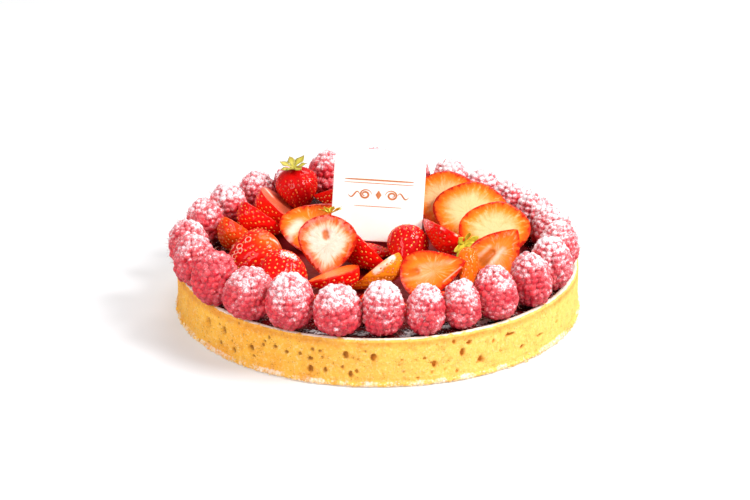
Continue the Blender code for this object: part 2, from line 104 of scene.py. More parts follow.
class Value:
    """A number that varies over a surface, for use in plain sums."""

    def __init__(self, graph: Graph, socket: bpy.types.NodeSocket) -> None:
        """Wraps a socket of a graph."""
        self.graph = graph
        self.socket = socket

    def _math(self, operation: str, *terms: "Value | float") -> "Value":
        """Adds a Math node for the operation on these terms and returns its result."""
        made = self.graph.node("ShaderNodeMath", {"operation": operation}, dict(enumerate(terms)))
        return Value(self.graph, made.outputs[0])

    def __add__(self, other: "Value | float") -> "Value":
        """Sum."""
        return self._math("ADD", self, other)

    def __radd__(self, other: float) -> "Value":
        """Sum with a number in front."""
        return self._math("ADD", other, self)

    def __sub__(self, other: "Value | float") -> "Value":
        """Difference."""
        return self._math("SUBTRACT", self, other)

    def __rsub__(self, other: float) -> "Value":
        """Difference from a number."""
        return self._math("SUBTRACT", other, self)

    def __mul__(self, other: "Value | float") -> "Value":
        """Product."""
        return self._math("MULTIPLY", self, other)

    def __rmul__(self, other: float) -> "Value":
        """Product with a number in front."""
        return self._math("MULTIPLY", other, self)

    def __truediv__(self, other: "Value | float") -> "Value":
        """Quotient."""
        return self._math("DIVIDE", self, other)

    def between(self, low: float, high: float) -> "Value":
        """Rises smoothly from 0 at low to 1 at high.

        Args:
            low: where the rise starts.
            high: where it ends. Below low, the result falls instead.

        Returns:
            The smoothed share, from 0 to 1.
        """
        made = self.graph.node(
            "ShaderNodeMapRange",
            {"interpolation_type": "SMOOTHSTEP"},
            {"Value": self, "From Min": low, "From Max": high},
        )
        return Value(self.graph, made.outputs["Result"])


class Sheet(Graph):
    """The nodes of one material."""

    def __init__(self, name: str) -> None:
        """Makes the material.

        Args:
            name: the finish, in plain words.
        """
        self.material = bpy.data.materials.new(name)
        self.material.use_nodes = True
        super().__init__(self.material.node_tree)
        self.place = self.node("ShaderNodeTexCoord").outputs["Object"]

    def mark(self, name: str) -> Value:
        """The number that a mesh carries under this name."""
        return Value(self, self.node("ShaderNodeAttribute", {"attribute_name": name}).outputs["Fac"])

    def direction(self, name: str) -> bpy.types.NodeSocket:
        """The vector that a mesh carries under this name."""
        return self.node("ShaderNodeAttribute", {"attribute_name": name}).outputs["Vector"]

    def noise(
        self,
        size: float,
        detail: float = 3.0,
        rough: float = 0.55,
        place: bpy.types.NodeSocket | None = None,
    ) -> Value:
        """Cloudy noise.

        Args:
            size: size of its largest features in millimetres, or in the place's own unit.
            detail: octaves.
            rough: share that each octave keeps.
            place: where it is read. The object's own place if None.

        Returns:
            A value around 0.5.
        """
        scale = 1 / (size * MM) if place is None else 1 / size
        inputs = {"Vector": place or self.place, "Scale": scale, "Detail": detail, "Roughness": rough}
        return Value(self, self.node("ShaderNodeTexNoise", None, inputs).outputs["Fac"])

    def cells(self, size: float) -> Value:
        """Distance to the nearest of scattered points, whose spacing is given in millimetres."""
        inputs = {"Vector": self.place, "Scale": 1 / (size * MM)}
        return Value(self, self.node("ShaderNodeTexVoronoi", None, inputs).outputs["Distance"])

    def mix(self, share: Value | float, first: object, second: object) -> bpy.types.NodeSocket:
        """A colour between two.

        Args:
            share: how much of the second.
            first: colour or socket.
            second: colour or socket.

        Returns:
            The mixed colour's socket.
        """
        made = self.node("ShaderNodeMix", {"data_type": "RGBA"}, {0: share, 6: first, 7: second})
        return made.outputs[2]

    def bump(
        self,
        height: Value,
        deep: float,
        under: bpy.types.NodeSocket | None = None,
    ) -> bpy.types.NodeSocket:
        """Relief that is only shaded.

        Args:
            height: the relief, from 0 to 1.
            deep: its depth in millimetres.
            under: normal that it lies on, if another bump comes first.

        Returns:
            The normal's socket.
        """
        inputs = {"Height": height, "Distance": deep * MM, "Strength": 1.0}
        if under is not None:
            inputs["Normal"] = under
        return self.node("ShaderNodeBump", None, inputs).outputs["Normal"]

    def finish(self, inputs: dict) -> bpy.types.Material:
        """Ends the material with one Principled shader.

        Args:
            inputs: values or links of the shader's sockets, by name.

        Returns:
            The material.
        """
        shader = self.node("ShaderNodeBsdfPrincipled", None, inputs)
        self.node("ShaderNodeOutputMaterial", None, {"Surface": shader.outputs[0]})
        return self.material


@dataclass(frozen=True)
class PastryFinish:
    """Golden shortcrust, browner under its rim, with sugar on its rim and foot; painted shade darkens its
    baking holes and the crease above its foot, and painted light pales the side that faces the key lamp.
    """

    golden: Colour = (0.92, 0.46, 0.050)
    deep: Colour = (0.88, 0.36, 0.028)
    brown: Colour = (0.68, 0.22, 0.018)
    dark: Colour = (0.30, 0.11, 0.016)
    pale: Colour = (0.93, 0.70, 0.30)
    light: Colour = (0.92, 0.58, 0.125)
    sugar: Colour = (0.94, 0.86, 0.78)

    def material(self) -> bpy.types.Material:
        """Builds the material."""
        sheet = Sheet("baked shortcrust")
        cloud = sheet.noise(14, 4)
        grain = sheet.noise(1.3, 4, 0.65)
        fine = sheet.noise(0.35, 2)
        speck = sheet.cells(1.25)
        blotch = sheet.noise(4.0, 5, 0.65)
        browned_and_crease_shade = sheet.mark("browned_and_crease_shade")
        dusted = sheet.mark("dusted")
        painted_lit_side = sheet.mark("painted_lit_side")
        shaded_pit = sheet.mark("shaded_pit")
        colour = sheet.mix(cloud.between(0.38, 0.66), self.golden, self.deep)
        # painted light: the side that faces the key lamp is mixed towards the paler light colour
        colour = sheet.mix((painted_lit_side * (0.6 + 0.8 * cloud)).between(0.0, 1.1), colour, self.light)
        colour = sheet.mix((grain + 0.5 * (fine - 0.5)).between(0.52, 0.66) * 0.58, colour, self.pale)
        colour = sheet.mix(blotch.between(0.50, 0.68) * 0.38, colour, self.brown)
        colour = sheet.mix(speck.between(0.30, 0.10) * blotch.between(0.40, 0.54) * 0.7, colour, self.dark)
        # real browning under the rim, and painted shade along the crease above the foot
        colour = sheet.mix((browned_and_crease_shade * (0.2 + 1.4 * blotch)).between(0.05, 1.0) * 0.7, colour, self.brown)
        # painted light: the holes are a lighter brown on the side that faces the key lamp
        hole = sheet.mix(painted_lit_side.between(0.2, 0.7), self.dark, self.brown)
        # painted shade: the baking holes are darkened towards the dark colour
        colour = sheet.mix(shaded_pit.between(0.10, 0.85) * 0.85, colour, hole)
        powder = (dusted + 0.9 * (grain - 0.5)).between(0.34, 0.72)
        colour = sheet.mix(powder * 0.86, colour, self.sugar)
        crumb = sheet.bump(grain, 0.6, sheet.bump(blotch, 0.5))
        inputs = {"Base Color": colour, "Roughness": 0.82, "Normal": sheet.bump(fine, 0.08, crumb)}
        return sheet.finish(inputs | {"Specular IOR Level": 0.3})


@dataclass(frozen=True)
class JamFinish:
    """Dark red jam with icing sugar where the fruit leaves it bare."""

    dark: Colour = (0.022, 0.003, 0.006)
    red: Colour = (0.20, 0.004, 0.006)
    sugar: Colour = (0.95, 0.91, 0.92)

    def material(self) -> bpy.types.Material:
        """Builds the material."""
        sheet = Sheet("dark jam")
        lumps = sheet.noise(5.5, 3)
        drift = sheet.noise(6.0, 4, 0.62)
        fine = sheet.noise(1.1, 3, 0.7)
        outer = sheet.mark("outer")
        colour = sheet.mix(lumps.between(0.4, 0.65), self.dark, self.red)
        colour = sheet.mix(outer.between(0.8, 0.3) * 0.8, colour, self.red)
        clump = sheet.mark("clump")
        powder = drift + fine * 1.6 + clump * 0.55
        powder = powder.between(1.53, 1.62) * outer.between(0.35, 0.75)
        colour = sheet.mix(powder * 0.9, colour, self.sugar)
        roughness = 0.2 + 0.62 * powder + outer.between(0.8, 0.3) * 0.18
        normal = sheet.bump(fine * powder, 0.22, sheet.bump(lumps, 0.5))
        inputs = {"Base Color": colour, "Roughness": roughness, "Normal": normal}
        return sheet.finish(inputs | {"Specular IOR Level": 0.07})


@dataclass(frozen=True)
class RaspberryFinish:
    """Pink-red drupelets with painted shade in their crevices and on their lower sides, under drifts of icing
    sugar.
    """

    flesh: Colour = (0.64, 0.010, 0.030)
    light: Colour = (0.88, 0.050, 0.062)
    crevice_shade: Colour = (0.36, 0.003, 0.018)
    shade: Colour = (0.36, 0.004, 0.026)
    frost: Colour = (0.88, 0.33, 0.36)
    sugar: Colour = (0.88, 0.80, 0.82)

    def material(self) -> bpy.types.Material:
        """Builds the material."""
        sheet = Sheet("sugared raspberry")
        cell = sheet.mark("cell")
        shaded_groove = sheet.mark("shaded_groove")
        gap = sheet.cells(1.4)
        dust = sheet.mark("dust")
        fine = sheet.noise(0.75, 4, 0.75)
        haze = sheet.noise(2.2, 3)
        colour = sheet.mix(cell, self.flesh, self.light)
        # painted shade: darker red along the borders of scattered cells, as in crevices between drupelets
        colour = sheet.mix(gap.between(0.42, 0.72) * 0.5, colour, self.crevice_shade)
        # painted shade on the lower, downward-facing part of each berry
        colour = sheet.mix(sheet.mark("under") * (0.5 + 0.6 * haze), colour, self.shade)
        # painted shade in the grooves between drupelets
        colour = sheet.mix(shaded_groove.between(0.15, 1.0) * (0.45 + 0.7 * haze), colour, self.crevice_shade)
        bloom = (dust * 0.8 + haze * 0.4 + fine * 0.9).between(0.66, 1.15)
        colour = sheet.mix(bloom * 0.45, colour, self.frost)
        powder = (dust + 2.2 * (fine - 0.5) + 0.9 * (haze - 0.5) - 0.16 * shaded_groove).between(0.38, 0.78)
        colour = sheet.mix(powder * 0.88, colour, self.sugar)
        inputs = {"Base Color": colour, "Roughness": 0.36 + 0.5 * powder, "Normal": sheet.bump(fine, 0.16)}
        inputs |= {"Subsurface Weight": 0.12, "Subsurface Radius": (1.0, 0.25, 0.2)}
        inputs |= {"Subsurface Scale": 0.0012, "Specular IOR Level": 0.35}
        return sheet.finish(inputs)


@dataclass(frozen=True)
class StrawberryFinish:
    """Glazed skin, and cut flesh that pales from an orange-red rim to a cream core, with painted shade in the
    pits round the pips and painted highlights along some glazed edges.
    """

    deep: Colour = (0.47, 0.0025, 0.004)
    red: Colour = (0.84, 0.005, 0.003)
    orange: Colour = (0.93, 0.14, 0.004)
    gold: Colour = (0.90, 0.31, 0.012)
    rim: Colour = (0.56, 0.014, 0.003)
    outer: Colour = (0.90, 0.11, 0.007)
    middle: Colour = (0.94, 0.27, 0.012)
    core: Colour = (0.95, 0.57, 0.27)
    white: Colour = (0.95, 0.77, 0.62)
    rosy: Colour = (0.88, 0.16, 0.09)
    hollow: Colour = (0.66, 0.15, 0.012)
    sugar: Colour = (0.93, 0.84, 0.82)

    def material(self) -> bpy.types.Material:
        """Builds the material."""
        sheet = Sheet("glazed strawberry")
        cut = sheet.mark("cut")
        edge = sheet.mark("edge")
        shaded_pit = sheet.mark("shaded_pit")
        tone = sheet.mark("tone")
        pale = sheet.mark("pale")
        cloud = sheet.noise(7, 3)
        skin = sheet.mix((tone + 0.7 * (cloud - 0.5)).between(-0.25, 0.45), self.deep, self.red)
        skin = sheet.mix((tone + 0.8 * (cloud - 0.5)).between(0.45, 1.05), skin, self.orange)
        skin = sheet.mix(tone.between(1.0, 1.4), skin, self.gold)
        # painted shade: the skin is darkened in the pits round the pips
        skin = sheet.mix(shaded_pit * 0.45, skin, self.deep)
        skin = sheet.mix(sheet.mark("tip") * 0.8, skin, self.orange)
        rays = sheet.noise(0.16, 4, 0.65, sheet.direction("ray"))
        mottle = sheet.noise(1.7, 4, 0.6)
        depth = edge + 7.0 * (rays - 0.5) + 1.6 * (mottle - 0.5)
        flesh = sheet.mix(depth.between(0.4, 1.8), self.rim, self.outer)
        rosy = pale.between(0.9, 1.0) * cloud.between(0.42, 0.56) * depth.between(0.3, 1.2)
        flesh = sheet.mix(rosy, flesh, self.rosy)
        flesh = sheet.mix(depth.between(1.4, 5.4) * (0.35 + 0.65 * pale), flesh, self.middle)
        paling = (depth / (2.1 - pale)).between(2.6, 7.6) * pale.between(0.0, 0.85)
        flesh = sheet.mix(paling, flesh, self.core)
        flesh = sheet.mix(depth.between(2.2, 7.0) * pale.between(0.85, 1.0), flesh, self.white)
        flesh = sheet.mix(pale.between(0.1, 0.0) * 0.85, flesh, self.rosy)
        flesh = sheet.mix(rays.between(0.54, 0.70) * depth.between(1.8, 4.0) * 0.5, flesh, self.core)
        flesh = sheet.mix(rays.between(0.46, 0.32) * depth.between(1.8, 4.0) * 0.4, flesh, self.middle)
        hollow = (sheet.mark("hollow") + 0.5 * (mottle - 0.5)).between(0.15, 0.85)
        flesh = sheet.mix(hollow * 0.9, flesh, self.hollow)
        colour = sheet.mix(cut, skin, flesh)
        # pale cream flesh, and painted glaze highlights drawn in the same pale colour
        cream = sheet.mark("cream") * (0.7 + 0.6 * mottle)
        colour = sheet.mix(cream.between(0.1, 1.0), colour, self.white)
        powder = (sheet.mark("sugared") + 2.2 * (sheet.noise(0.7, 3, 0.7) - 0.5)).between(0.48, 0.70)
        colour = sheet.mix(powder * 0.85, colour, self.sugar)
        fibres = sheet.bump(rays * cut, 0.22)
        normal = sheet.bump(sheet.noise(2.2, 3), 0.30, fibres)
        inputs = {"Base Color": colour, "Roughness": 0.34 + 0.06 * cut + 0.4 * powder, "Normal": normal}
        inputs |= {"Specular IOR Level": 0.06, "Coat Weight": 0.55 - 0.55 * powder}
        inputs |= {"Coat Roughness": 0.04, "Coat IOR": 1.36}
        inputs |= {"Subsurface Weight": 0.08, "Subsurface Radius": (1.0, 0.2, 0.1)}
        inputs |= {"Subsurface Scale": 0.0016}
        return sheet.finish(inputs)


@dataclass(frozen=True)
class LeafFinish:
    """Yellow-green leaves, browner towards their points."""

    green: Colour = (0.52, 0.50, 0.025)
    yellow: Colour = (0.86, 0.74, 0.05)
    olive: Colour = (0.26, 0.19, 0.035)
    brown: Colour = (0.34, 0.17, 0.05)

    def material(self) -> bpy.types.Material:
        """Builds the material."""
        sheet = Sheet("strawberry leaf")
        cloud = sheet.noise(3.0, 3)
        fine = sheet.noise(0.6, 3)
        reach = sheet.mark("reach")
        rib = sheet.mark("rib")
        colour = sheet.mix(cloud.between(0.42, 0.62), self.green, self.yellow)
        colour = sheet.mix(sheet.mark("dry") * (0.45 + 0.6 * cloud), colour, self.olive)
        colour = sheet.mix(rib * 0.5, colour, self.yellow)
        colour = sheet.mix((reach + 0.8 * (cloud - 0.5)).between(0.72, 1.1) * 0.7, colour, self.brown)
        normal = sheet.bump(fine, 0.08)
        return sheet.finish({"Base Color": colour, "Roughness": 0.5, "Normal": normal})


@dataclass(frozen=True)
class ChocolateFinish:
    """Smooth off-white chocolate with a soft cream cast."""

    white: Colour = (0.94, 0.93, 0.88)
    cream: Colour = (0.93, 0.89, 0.78)

    def material(self) -> bpy.types.Material:
        """Builds the material."""
        sheet = Sheet("white chocolate")
        cloud = sheet.noise(22, 2)
        colour = sheet.mix(cloud.between(0.35, 0.75) * 0.6, self.white, self.cream)
        normal = sheet.bump(sheet.noise(6, 2), 0.03)
        inputs = {"Base Color": colour, "Roughness": 0.34 + 0.08 * cloud, "Normal": normal}
        inputs |= {"Subsurface Weight": 0.1, "Subsurface Scale": 0.001}
        return sheet.finish(inputs)


@dataclass(frozen=True)
class PlainFinish:
    """A finish of one colour that varies a little, for small things and the stage."""

    name: str
    colour: Colour
    other: Colour
    size: float
    roughness: float
    extra: dict = field(default_factory=dict)

    def material(self) -> bpy.types.Material:
        """Builds the material."""
        sheet = Sheet(self.name)
        cloud = sheet.noise(self.size, 3)
        colour = sheet.mix(cloud.between(0.35, 0.65), self.colour, self.other)
        return sheet.finish({"Base Color": colour, "Roughness": self.roughness} | self.extra)


SUGAR = PlainFinish("icing sugar", (0.93, 0.92, 0.93), (0.86, 0.84, 0.87), 1.5, 0.65)
PIP = PlainFinish("golden pip", (0.93, 0.36, 0.045), (0.90, 0.17, 0.02), 4.0, 0.3, {"Coat Weight": 0.8})
DULL_PIP = PlainFinish(
    "dull red pip", (0.62, 0.03, 0.006), (0.80, 0.14, 0.02), 4.0, 0.4, {"Coat Weight": 0.3}
)
STYLE = PlainFinish("raspberry hair", (0.36, 0.06, 0.05), (0.62, 0.30, 0.20), 5.0, 0.6)
CRUMB = PlainFinish("pastry crumb", (0.86, 0.58, 0.24), (0.93, 0.76, 0.48), 3.0, 0.85)
PRINT = PlainFinish("copper-brown print", (0.56, 0.20, 0.065), (0.48, 0.15, 0.045), 2.0, 0.45)
# painted highlight: the bubbles' rings are light pink, in place of the light that they catch
GLAZE_BUBBLE_HIGHLIGHT = PlainFinish("glaze bubble", (0.95, 0.30, 0.22), (0.95, 0.45, 0.36), 2.0, 0.08, {"Coat Weight": 1.0})
FLOOR_GLOW = {"Emission Color": (1.0, 1.0, 1.0, 1.0), "Emission Strength": 0.24, "Specular IOR Level": 0.0}
FLOOR = PlainFinish("pale floor", (0.62, 0.62, 0.63), (0.63, 0.63, 0.64), 400.0, 0.9, FLOOR_GLOW)


def soft_noise(points: np.ndarray, size: float, seed: int) -> np.ndarray:
    """Smooth noise in space.

    Args:
        points: places in millimetres, their coordinates on the last axis.
        size: size of its features in millimetres.
        seed: which noise.

    Returns:
        A number from about -1 to 1 for each point.
    """
    draw = np.random.default_rng(seed)
    order = draw.permutation(256)
    slopes = draw.normal(size=(256, 3))
    slopes /= np.linalg.norm(slopes, axis=1, keepdims=True)
    scaled = points / size
    cell = np.floor(scaled).astype(np.int64)
    inside = scaled - cell
    eased = inside**3 * (inside * (inside * 6 - 15) + 10)
    total = np.zeros(points.shape[:-1])
    for corner in np.ndindex(2, 2, 2):
        index = order[(cell[..., 0] + corner[0]) & 255]
        index = order[(index + cell[..., 1] + corner[1]) & 255]
        index = order[(index + cell[..., 2] + corner[2]) & 255]
        towards = (slopes[index] * (inside - np.array(corner))).sum(-1)
        share = np.where(np.array(corner) == 1, eased, 1 - eased).prod(-1)
        total += share * towards
    return 1.7 * total


def eased(value: np.ndarray, low: float, high: float) -> np.ndarray:
    """Rises smoothly from 0 at low to 1 at high."""
    share = np.clip((value - low) / (high - low), 0, 1)
    return share * share * (3 - 2 * share)


@dataclass
class Wrap:
    """A closed surface made of rows of points, joined round, with one point at each end."""

    rows: np.ndarray
    start: np.ndarray
    end: np.ndarray
    marks: dict[str, np.ndarray] = field(default_factory=dict)

    def faces(self) -> np.ndarray:
        """Corners of its quads and end triangles, the latter with their last corner repeated."""
        count, steps = self.rows.shape[:2]
        low = np.arange(count - 1)[:, None] * steps
        step = np.arange(steps)[None, :]
        nxt = (step + 1) % steps
        quads = np.stack([low + step, low + nxt, low + steps + nxt, low + steps + step], -1).reshape(-1, 4)
        first, last = count * steps, count * steps + 1
        base = (count - 1) * steps
        line = np.arange(steps)
        after = (line + 1) % steps
        opening = np.stack([np.full(steps, first), after, line, line], -1)
        closing = np.stack([np.full(steps, last), base + line, base + after, base + after], -1)
        return np.concatenate([quads, opening, closing])

    def normals(self) -> np.ndarray:
        """Outward direction at each point of the rows."""
        along = np.gradient(self.rows, axis=0)
        around = np.roll(self.rows, -1, axis=1) - np.roll(self.rows, 1, axis=1)
        across = np.cross(around, along)
        across /= np.maximum(np.linalg.norm(across, axis=2, keepdims=True), 1e-9)
        outward = self.rows - self.rows.mean(axis=(0, 1))
        return across if (across * outward).sum() > 0 else -across

    def mesh(self, name: str, material: bpy.types.Material) -> bpy.types.Object:
        """Makes the object.

        Args:
            name: its name.
            material: its finish.

        Returns:
            The object, with the marks as attributes of its points.
        """
        steps = self.rows.shape[1]
        points = np.concatenate([self.rows.reshape(-1, 3), self.start[None], self.end[None]])
        faces = self.faces()
        fan = points[faces]
        volume = np.einsum("ij,ij->i", fan[:, 0], np.cross(fan[:, 1], fan[:, 2])).sum()
        volume += np.einsum("ij,ij->i", fan[:, 0], np.cross(fan[:, 2], fan[:, 3])).sum()
        listed = [corners[:3] if corners[2] == corners[3] else corners for corners in faces.tolist()]
        if volume < 0:
            listed = [corners[::-1] for corners in listed]
        made = new_object(name, points, listed, material)
        for title, values in self.marks.items():
            flat = values.reshape(len(points) - 2, -1)
            ends = [flat[:steps].mean(0, keepdims=True), flat[-steps:].mean(0, keepdims=True)]
            add_mark(made.data, title, np.concatenate([flat, *ends]))
        return made


def new_object(name: str, points: np.ndarray, faces: list, material: bpy.types.Material) -> bpy.types.Object:
    """Makes a smooth object from points in millimetres.

    Args:
        name: its name.
        points: places, one to a row.
        faces: corners of each face.
        material: its finish.

    Returns:
        The object, linked to the scene.
    """
    data = bpy.data.meshes.new(name)
    data.from_pydata((points * MM).tolist(), [], faces)
    data.materials.append(material)
    data.shade_smooth()
    made = bpy.data.objects.new(name, data)
    bpy.context.scene.collection.objects.link(made)
    return made


def add_mark(data: bpy.types.Mesh, title: str, values: np.ndarray) -> None:
    """Stores a number or a vector for each point of a mesh.

    Args:
        data: the mesh.
        title: name of the attribute.
        values: one row for each point.
    """
    wide = values.reshape(len(data.vertices), -1).shape[1]
    kind = "FLOAT_VECTOR" if wide == 3 else "FLOAT"
    mark = data.attributes.new(title, kind, "POINT")
    mark.data.foreach_set("vector" if wide == 3 else "value", values.astype(np.float32).ravel())


def settle(piece: bpy.types.Object, slot: str, *nodes: str) -> bpy.types.Object:
    """Puts a finished piece on the tart.

    Args:
        piece: the object, in its place.
        slot: name of a material slot; not used.
        nodes: solids that it stands for, if any.

    Returns:
        The piece.
    """
    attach(piece, "root")
    if nodes:
        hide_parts(*nodes)
    sides = sum(len(face.vertices) - 2 for face in piece.data.polygons)
    log.info("%s: %d triangles", piece.name, sides)
    return piece


class Shape(Enum):
    """The small solid that a recipe repeats."""

    PIP = "pip"
    GRAIN = "grain"
    HAIR = "hair"
    CRUMB = "crumb"
    RING = "ring"


@dataclass(frozen=True)
class Repeat:
    """Geometry nodes that set a small solid on every point of a mesh, or at random over its faces.

    A point's own direction, run and size come from the mesh's marks outward, along and size. Over
    faces, the mark named by thick says how densely the solids lie.
    """

    name: str
    shape: Shape
    size: Point
    uneven: float = 0.3
    density: float = 0.0
    thick: str = ""
    seed: int = 1

    def _solid(self, graph: Graph) -> bpy.types.NodeSocket:
        """The small solid, about two units long each way."""
        if self.shape is Shape.PIP:
            made = graph.node("GeometryNodeMeshUVSphere", None, {"Segments": 8, "Rings": 4, "Radius": 1.0})
        elif self.shape is Shape.GRAIN:
            made = graph.node("GeometryNodeMeshUVSphere", None, {"Segments": 4, "Rings": 2, "Radius": 1.0})
        elif self.shape is Shape.HAIR:
            inputs = {"Vertices": 5, "Radius Top": 0.4, "Radius Bottom": 1.0, "Depth": 1.0}
            made = graph.node("GeometryNodeMeshCone", None, inputs)
        elif self.shape is Shape.RING:
            circle = graph.node("GeometryNodeCurvePrimitiveCircle", None, {"Resolution": 12, "Radius": 1.0})
            wire = graph.node("GeometryNodeCurvePrimitiveCircle", None, {"Resolution": 5, "Radius": 0.2})
            ends = {"Curve": circle.outputs["Curve"], "Profile Curve": wire.outputs["Curve"]}
            made = graph.node("GeometryNodeCurveToMesh", None, ends)
        else:
            made = graph.node("GeometryNodeMeshIcoSphere", None, {"Radius": 1.0, "Subdivisions": 2})
        return made.outputs["Mesh"]

    def _mark(self, graph: Graph, name: str, kind: str) -> bpy.types.NodeSocket:
        """What the mesh carries under this name, a number or a vector."""
        made = graph.node("GeometryNodeInputNamedAttribute", {"data_type": kind}, {"Name": name})
        return made.outputs[0]

    def _tree(self) -> bpy.types.NodeTree:
        """Builds the node group."""
        tree = bpy.data.node_groups.new(self.name, "GeometryNodeTree")
        graph = Graph(tree)
        kinds = {"Geometry": "Geometry", "Size": "Vector", "Unevenness": "Float"}
        kinds |= {"Density": "Float", "Seed": "Int", "Material": "Material"}
        for name, kind in kinds.items():
            tree.interface.new_socket(name, in_out="INPUT", socket_type=f"NodeSocket{kind}")
        tree.interface.new_socket("Geometry", in_out="OUTPUT", socket_type="NodeSocketGeometry")
        given = graph.node("NodeGroupInput").outputs
        if self.thick:
            mark = self._mark(graph, self.thick, "FLOAT")
            dense = graph.node(
                "ShaderNodeMath", {"operation": "MULTIPLY"}, {0: mark, 1: given["Density"]}
            )
            spread = graph.node(
                "GeometryNodeDistributePointsOnFaces",
                None,
                {"Mesh": given["Geometry"], "Density": dense.outputs[0], "Seed": given["Seed"]},
            )
            points = spread.outputs["Points"]
            turned = graph.node(
                "FunctionNodeRandomValue", {"data_type": "FLOAT_VECTOR"}, {0: (0, 0, 0), 1: (6.3, 6.3, 6.3)}
            ).outputs[0]
            size = given["Size"]
        else:
            points = given["Geometry"]
            outward = self._mark(graph, "outward", "FLOAT_VECTOR")
            along = self._mark(graph, "along", "FLOAT_VECTOR")
            own = self._mark(graph, "size", "FLOAT")
            first = graph.node("FunctionNodeAlignRotationToVector", {"axis": "Z"}, {"Vector": outward})
            second = graph.node(
                "FunctionNodeAlignRotationToVector",
                {"axis": "X", "pivot_axis": "Z"},
                {"Rotation": first.outputs[0], "Vector": along},
            )
            turned = second.outputs[0]
            size = graph.node(
                "ShaderNodeVectorMath", {"operation": "SCALE"}, {0: given["Size"], "Scale": own}
            ).outputs[0]
        low = graph.node("ShaderNodeMath", {"operation": "SUBTRACT"}, {0: 1.0, 1: given["Unevenness"]})
        high = graph.node("ShaderNodeMath", {"operation": "ADD"}, {0: 1.0, 1: given["Unevenness"]})
        vary = graph.node(
            "FunctionNodeRandomValue",
            {"data_type": "FLOAT"},
            {2: low.outputs[0], 3: high.outputs[0], "Seed": given["Seed"]},
        )
        final = graph.node(
            "ShaderNodeVectorMath", {"operation": "SCALE"}, {0: size, "Scale": vary.outputs[1]}
        ).outputs[0]
        placed = graph.node(
            "GeometryNodeInstanceOnPoints",
            None,
            {"Points": points, "Instance": self._solid(graph), "Rotation": turned, "Scale": final},
        )
        real = graph.node("GeometryNodeRealizeInstances", None, {"Geometry": placed.outputs[0]})
        smooth = graph.node("GeometryNodeSetShadeSmooth", None, {"Geometry": real.outputs[0]})
        painted = graph.node(
            "GeometryNodeSetMaterial", None, {"Geometry": smooth.outputs[0], "Material": given["Material"]}
        )
        graph.node("NodeGroupOutput", None, {0: painted.outputs[0]})
        return tree

    def grow(self, host: bpy.types.Mesh, finish: PlainFinish) -> bpy.types.Object:
        """Sets the solids on a mesh.

        Args:
            host: the mesh that carries the points or faces and their marks.
            finish: finish of the solids.

        Returns:
            A plain mesh object of the solids alone.
        """
        tree = self._tree()
        carrier = bpy.data.objects.new(self.name + "_carrier", host)
        bpy.context.scene.collection.objects.link(carrier)
        modifier = carrier.modifiers.new(self.name, "NODES")
        modifier.node_group = tree
        material = finish.material()
        wanted = {
            "Size": tuple(side * MM for side in self.size),
            "Unevenness": self.uneven,
            "Density": self.density,
            "Seed": self.seed,
            "Material": material,
        }
        for item in tree.interface.items_tree:
            if item.in_out == "INPUT" and item.name in wanted:
                modifier[item.identifier] = wanted[item.name]
        graph = bpy.context.evaluated_depsgraph_get()
        data = bpy.data.meshes.new_from_object(carrier.evaluated_get(graph))
        data.name = self.name
        bpy.data.objects.remove(carrier)
        if not data.materials:
            data.materials.append(material)
        made = bpy.data.objects.new(self.name, data)
        bpy.context.scene.collection.objects.link(made)
        return made


def point_cloud(
    name: str,
    places: np.ndarray,
    outward: np.ndarray,
    along: np.ndarray,
    size: np.ndarray,
) -> bpy.types.Mesh:
    """A mesh of loose points for Repeat.

    Args:
        name: its name.
        places: points in millimetres.
        outward: which way each solid's Z looks.
        along: which way its X runs.
        size: its own scale.

    Returns:
        The mesh with its marks.
    """
    data = bpy.data.meshes.new(name)
    data.from_pydata((places * MM).tolist(), [], [])
    add_mark(data, "outward", outward)
    add_mark(data, "along", along)
    add_mark(data, "size", size)
    return data


def joined_faces(pieces: list[bpy.types.Object], mark: str) -> bpy.types.Mesh:
    """One mesh of the faces of several pieces, with one of their marks.

    Args:
        pieces: the objects, each at the origin.
        mark: name of a number that they all carry.

    Returns:
        The joined mesh.
    """
    points, faces, values, base = [], [], [], 0
    for piece in pieces:
        data = piece.data
        place = np.empty(3 * len(data.vertices), np.float32)
        data.vertices.foreach_get("co", place)
        value = np.empty(len(data.vertices), np.float32)
        data.attributes[mark].data.foreach_get("value", value)
        points.append(place.reshape(-1, 3))
        values.append(value)
        faces += [tuple(corner + base for corner in face.vertices) for face in data.polygons]
        base += len(data.vertices)
    data = bpy.data.meshes.new("joined")
    data.from_pydata(np.concatenate(points).tolist(), [], faces)
    add_mark(data, mark, np.concatenate(values))
    return data


def shift_to_box(node: str, points: np.ndarray) -> np.ndarray:
    """How far points must move to lie in the box of a solid.

    Args:
        node: the solid's name.
        points: its corners in millimetres, as they were before they were nudged.

    Returns:
        The move in millimetres.
    """
    low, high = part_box(node)
    middle = 0.5 * (np.array(low) + np.array(high)) / MM
    return middle - 0.5 * (points.min(0) + points.max(0))


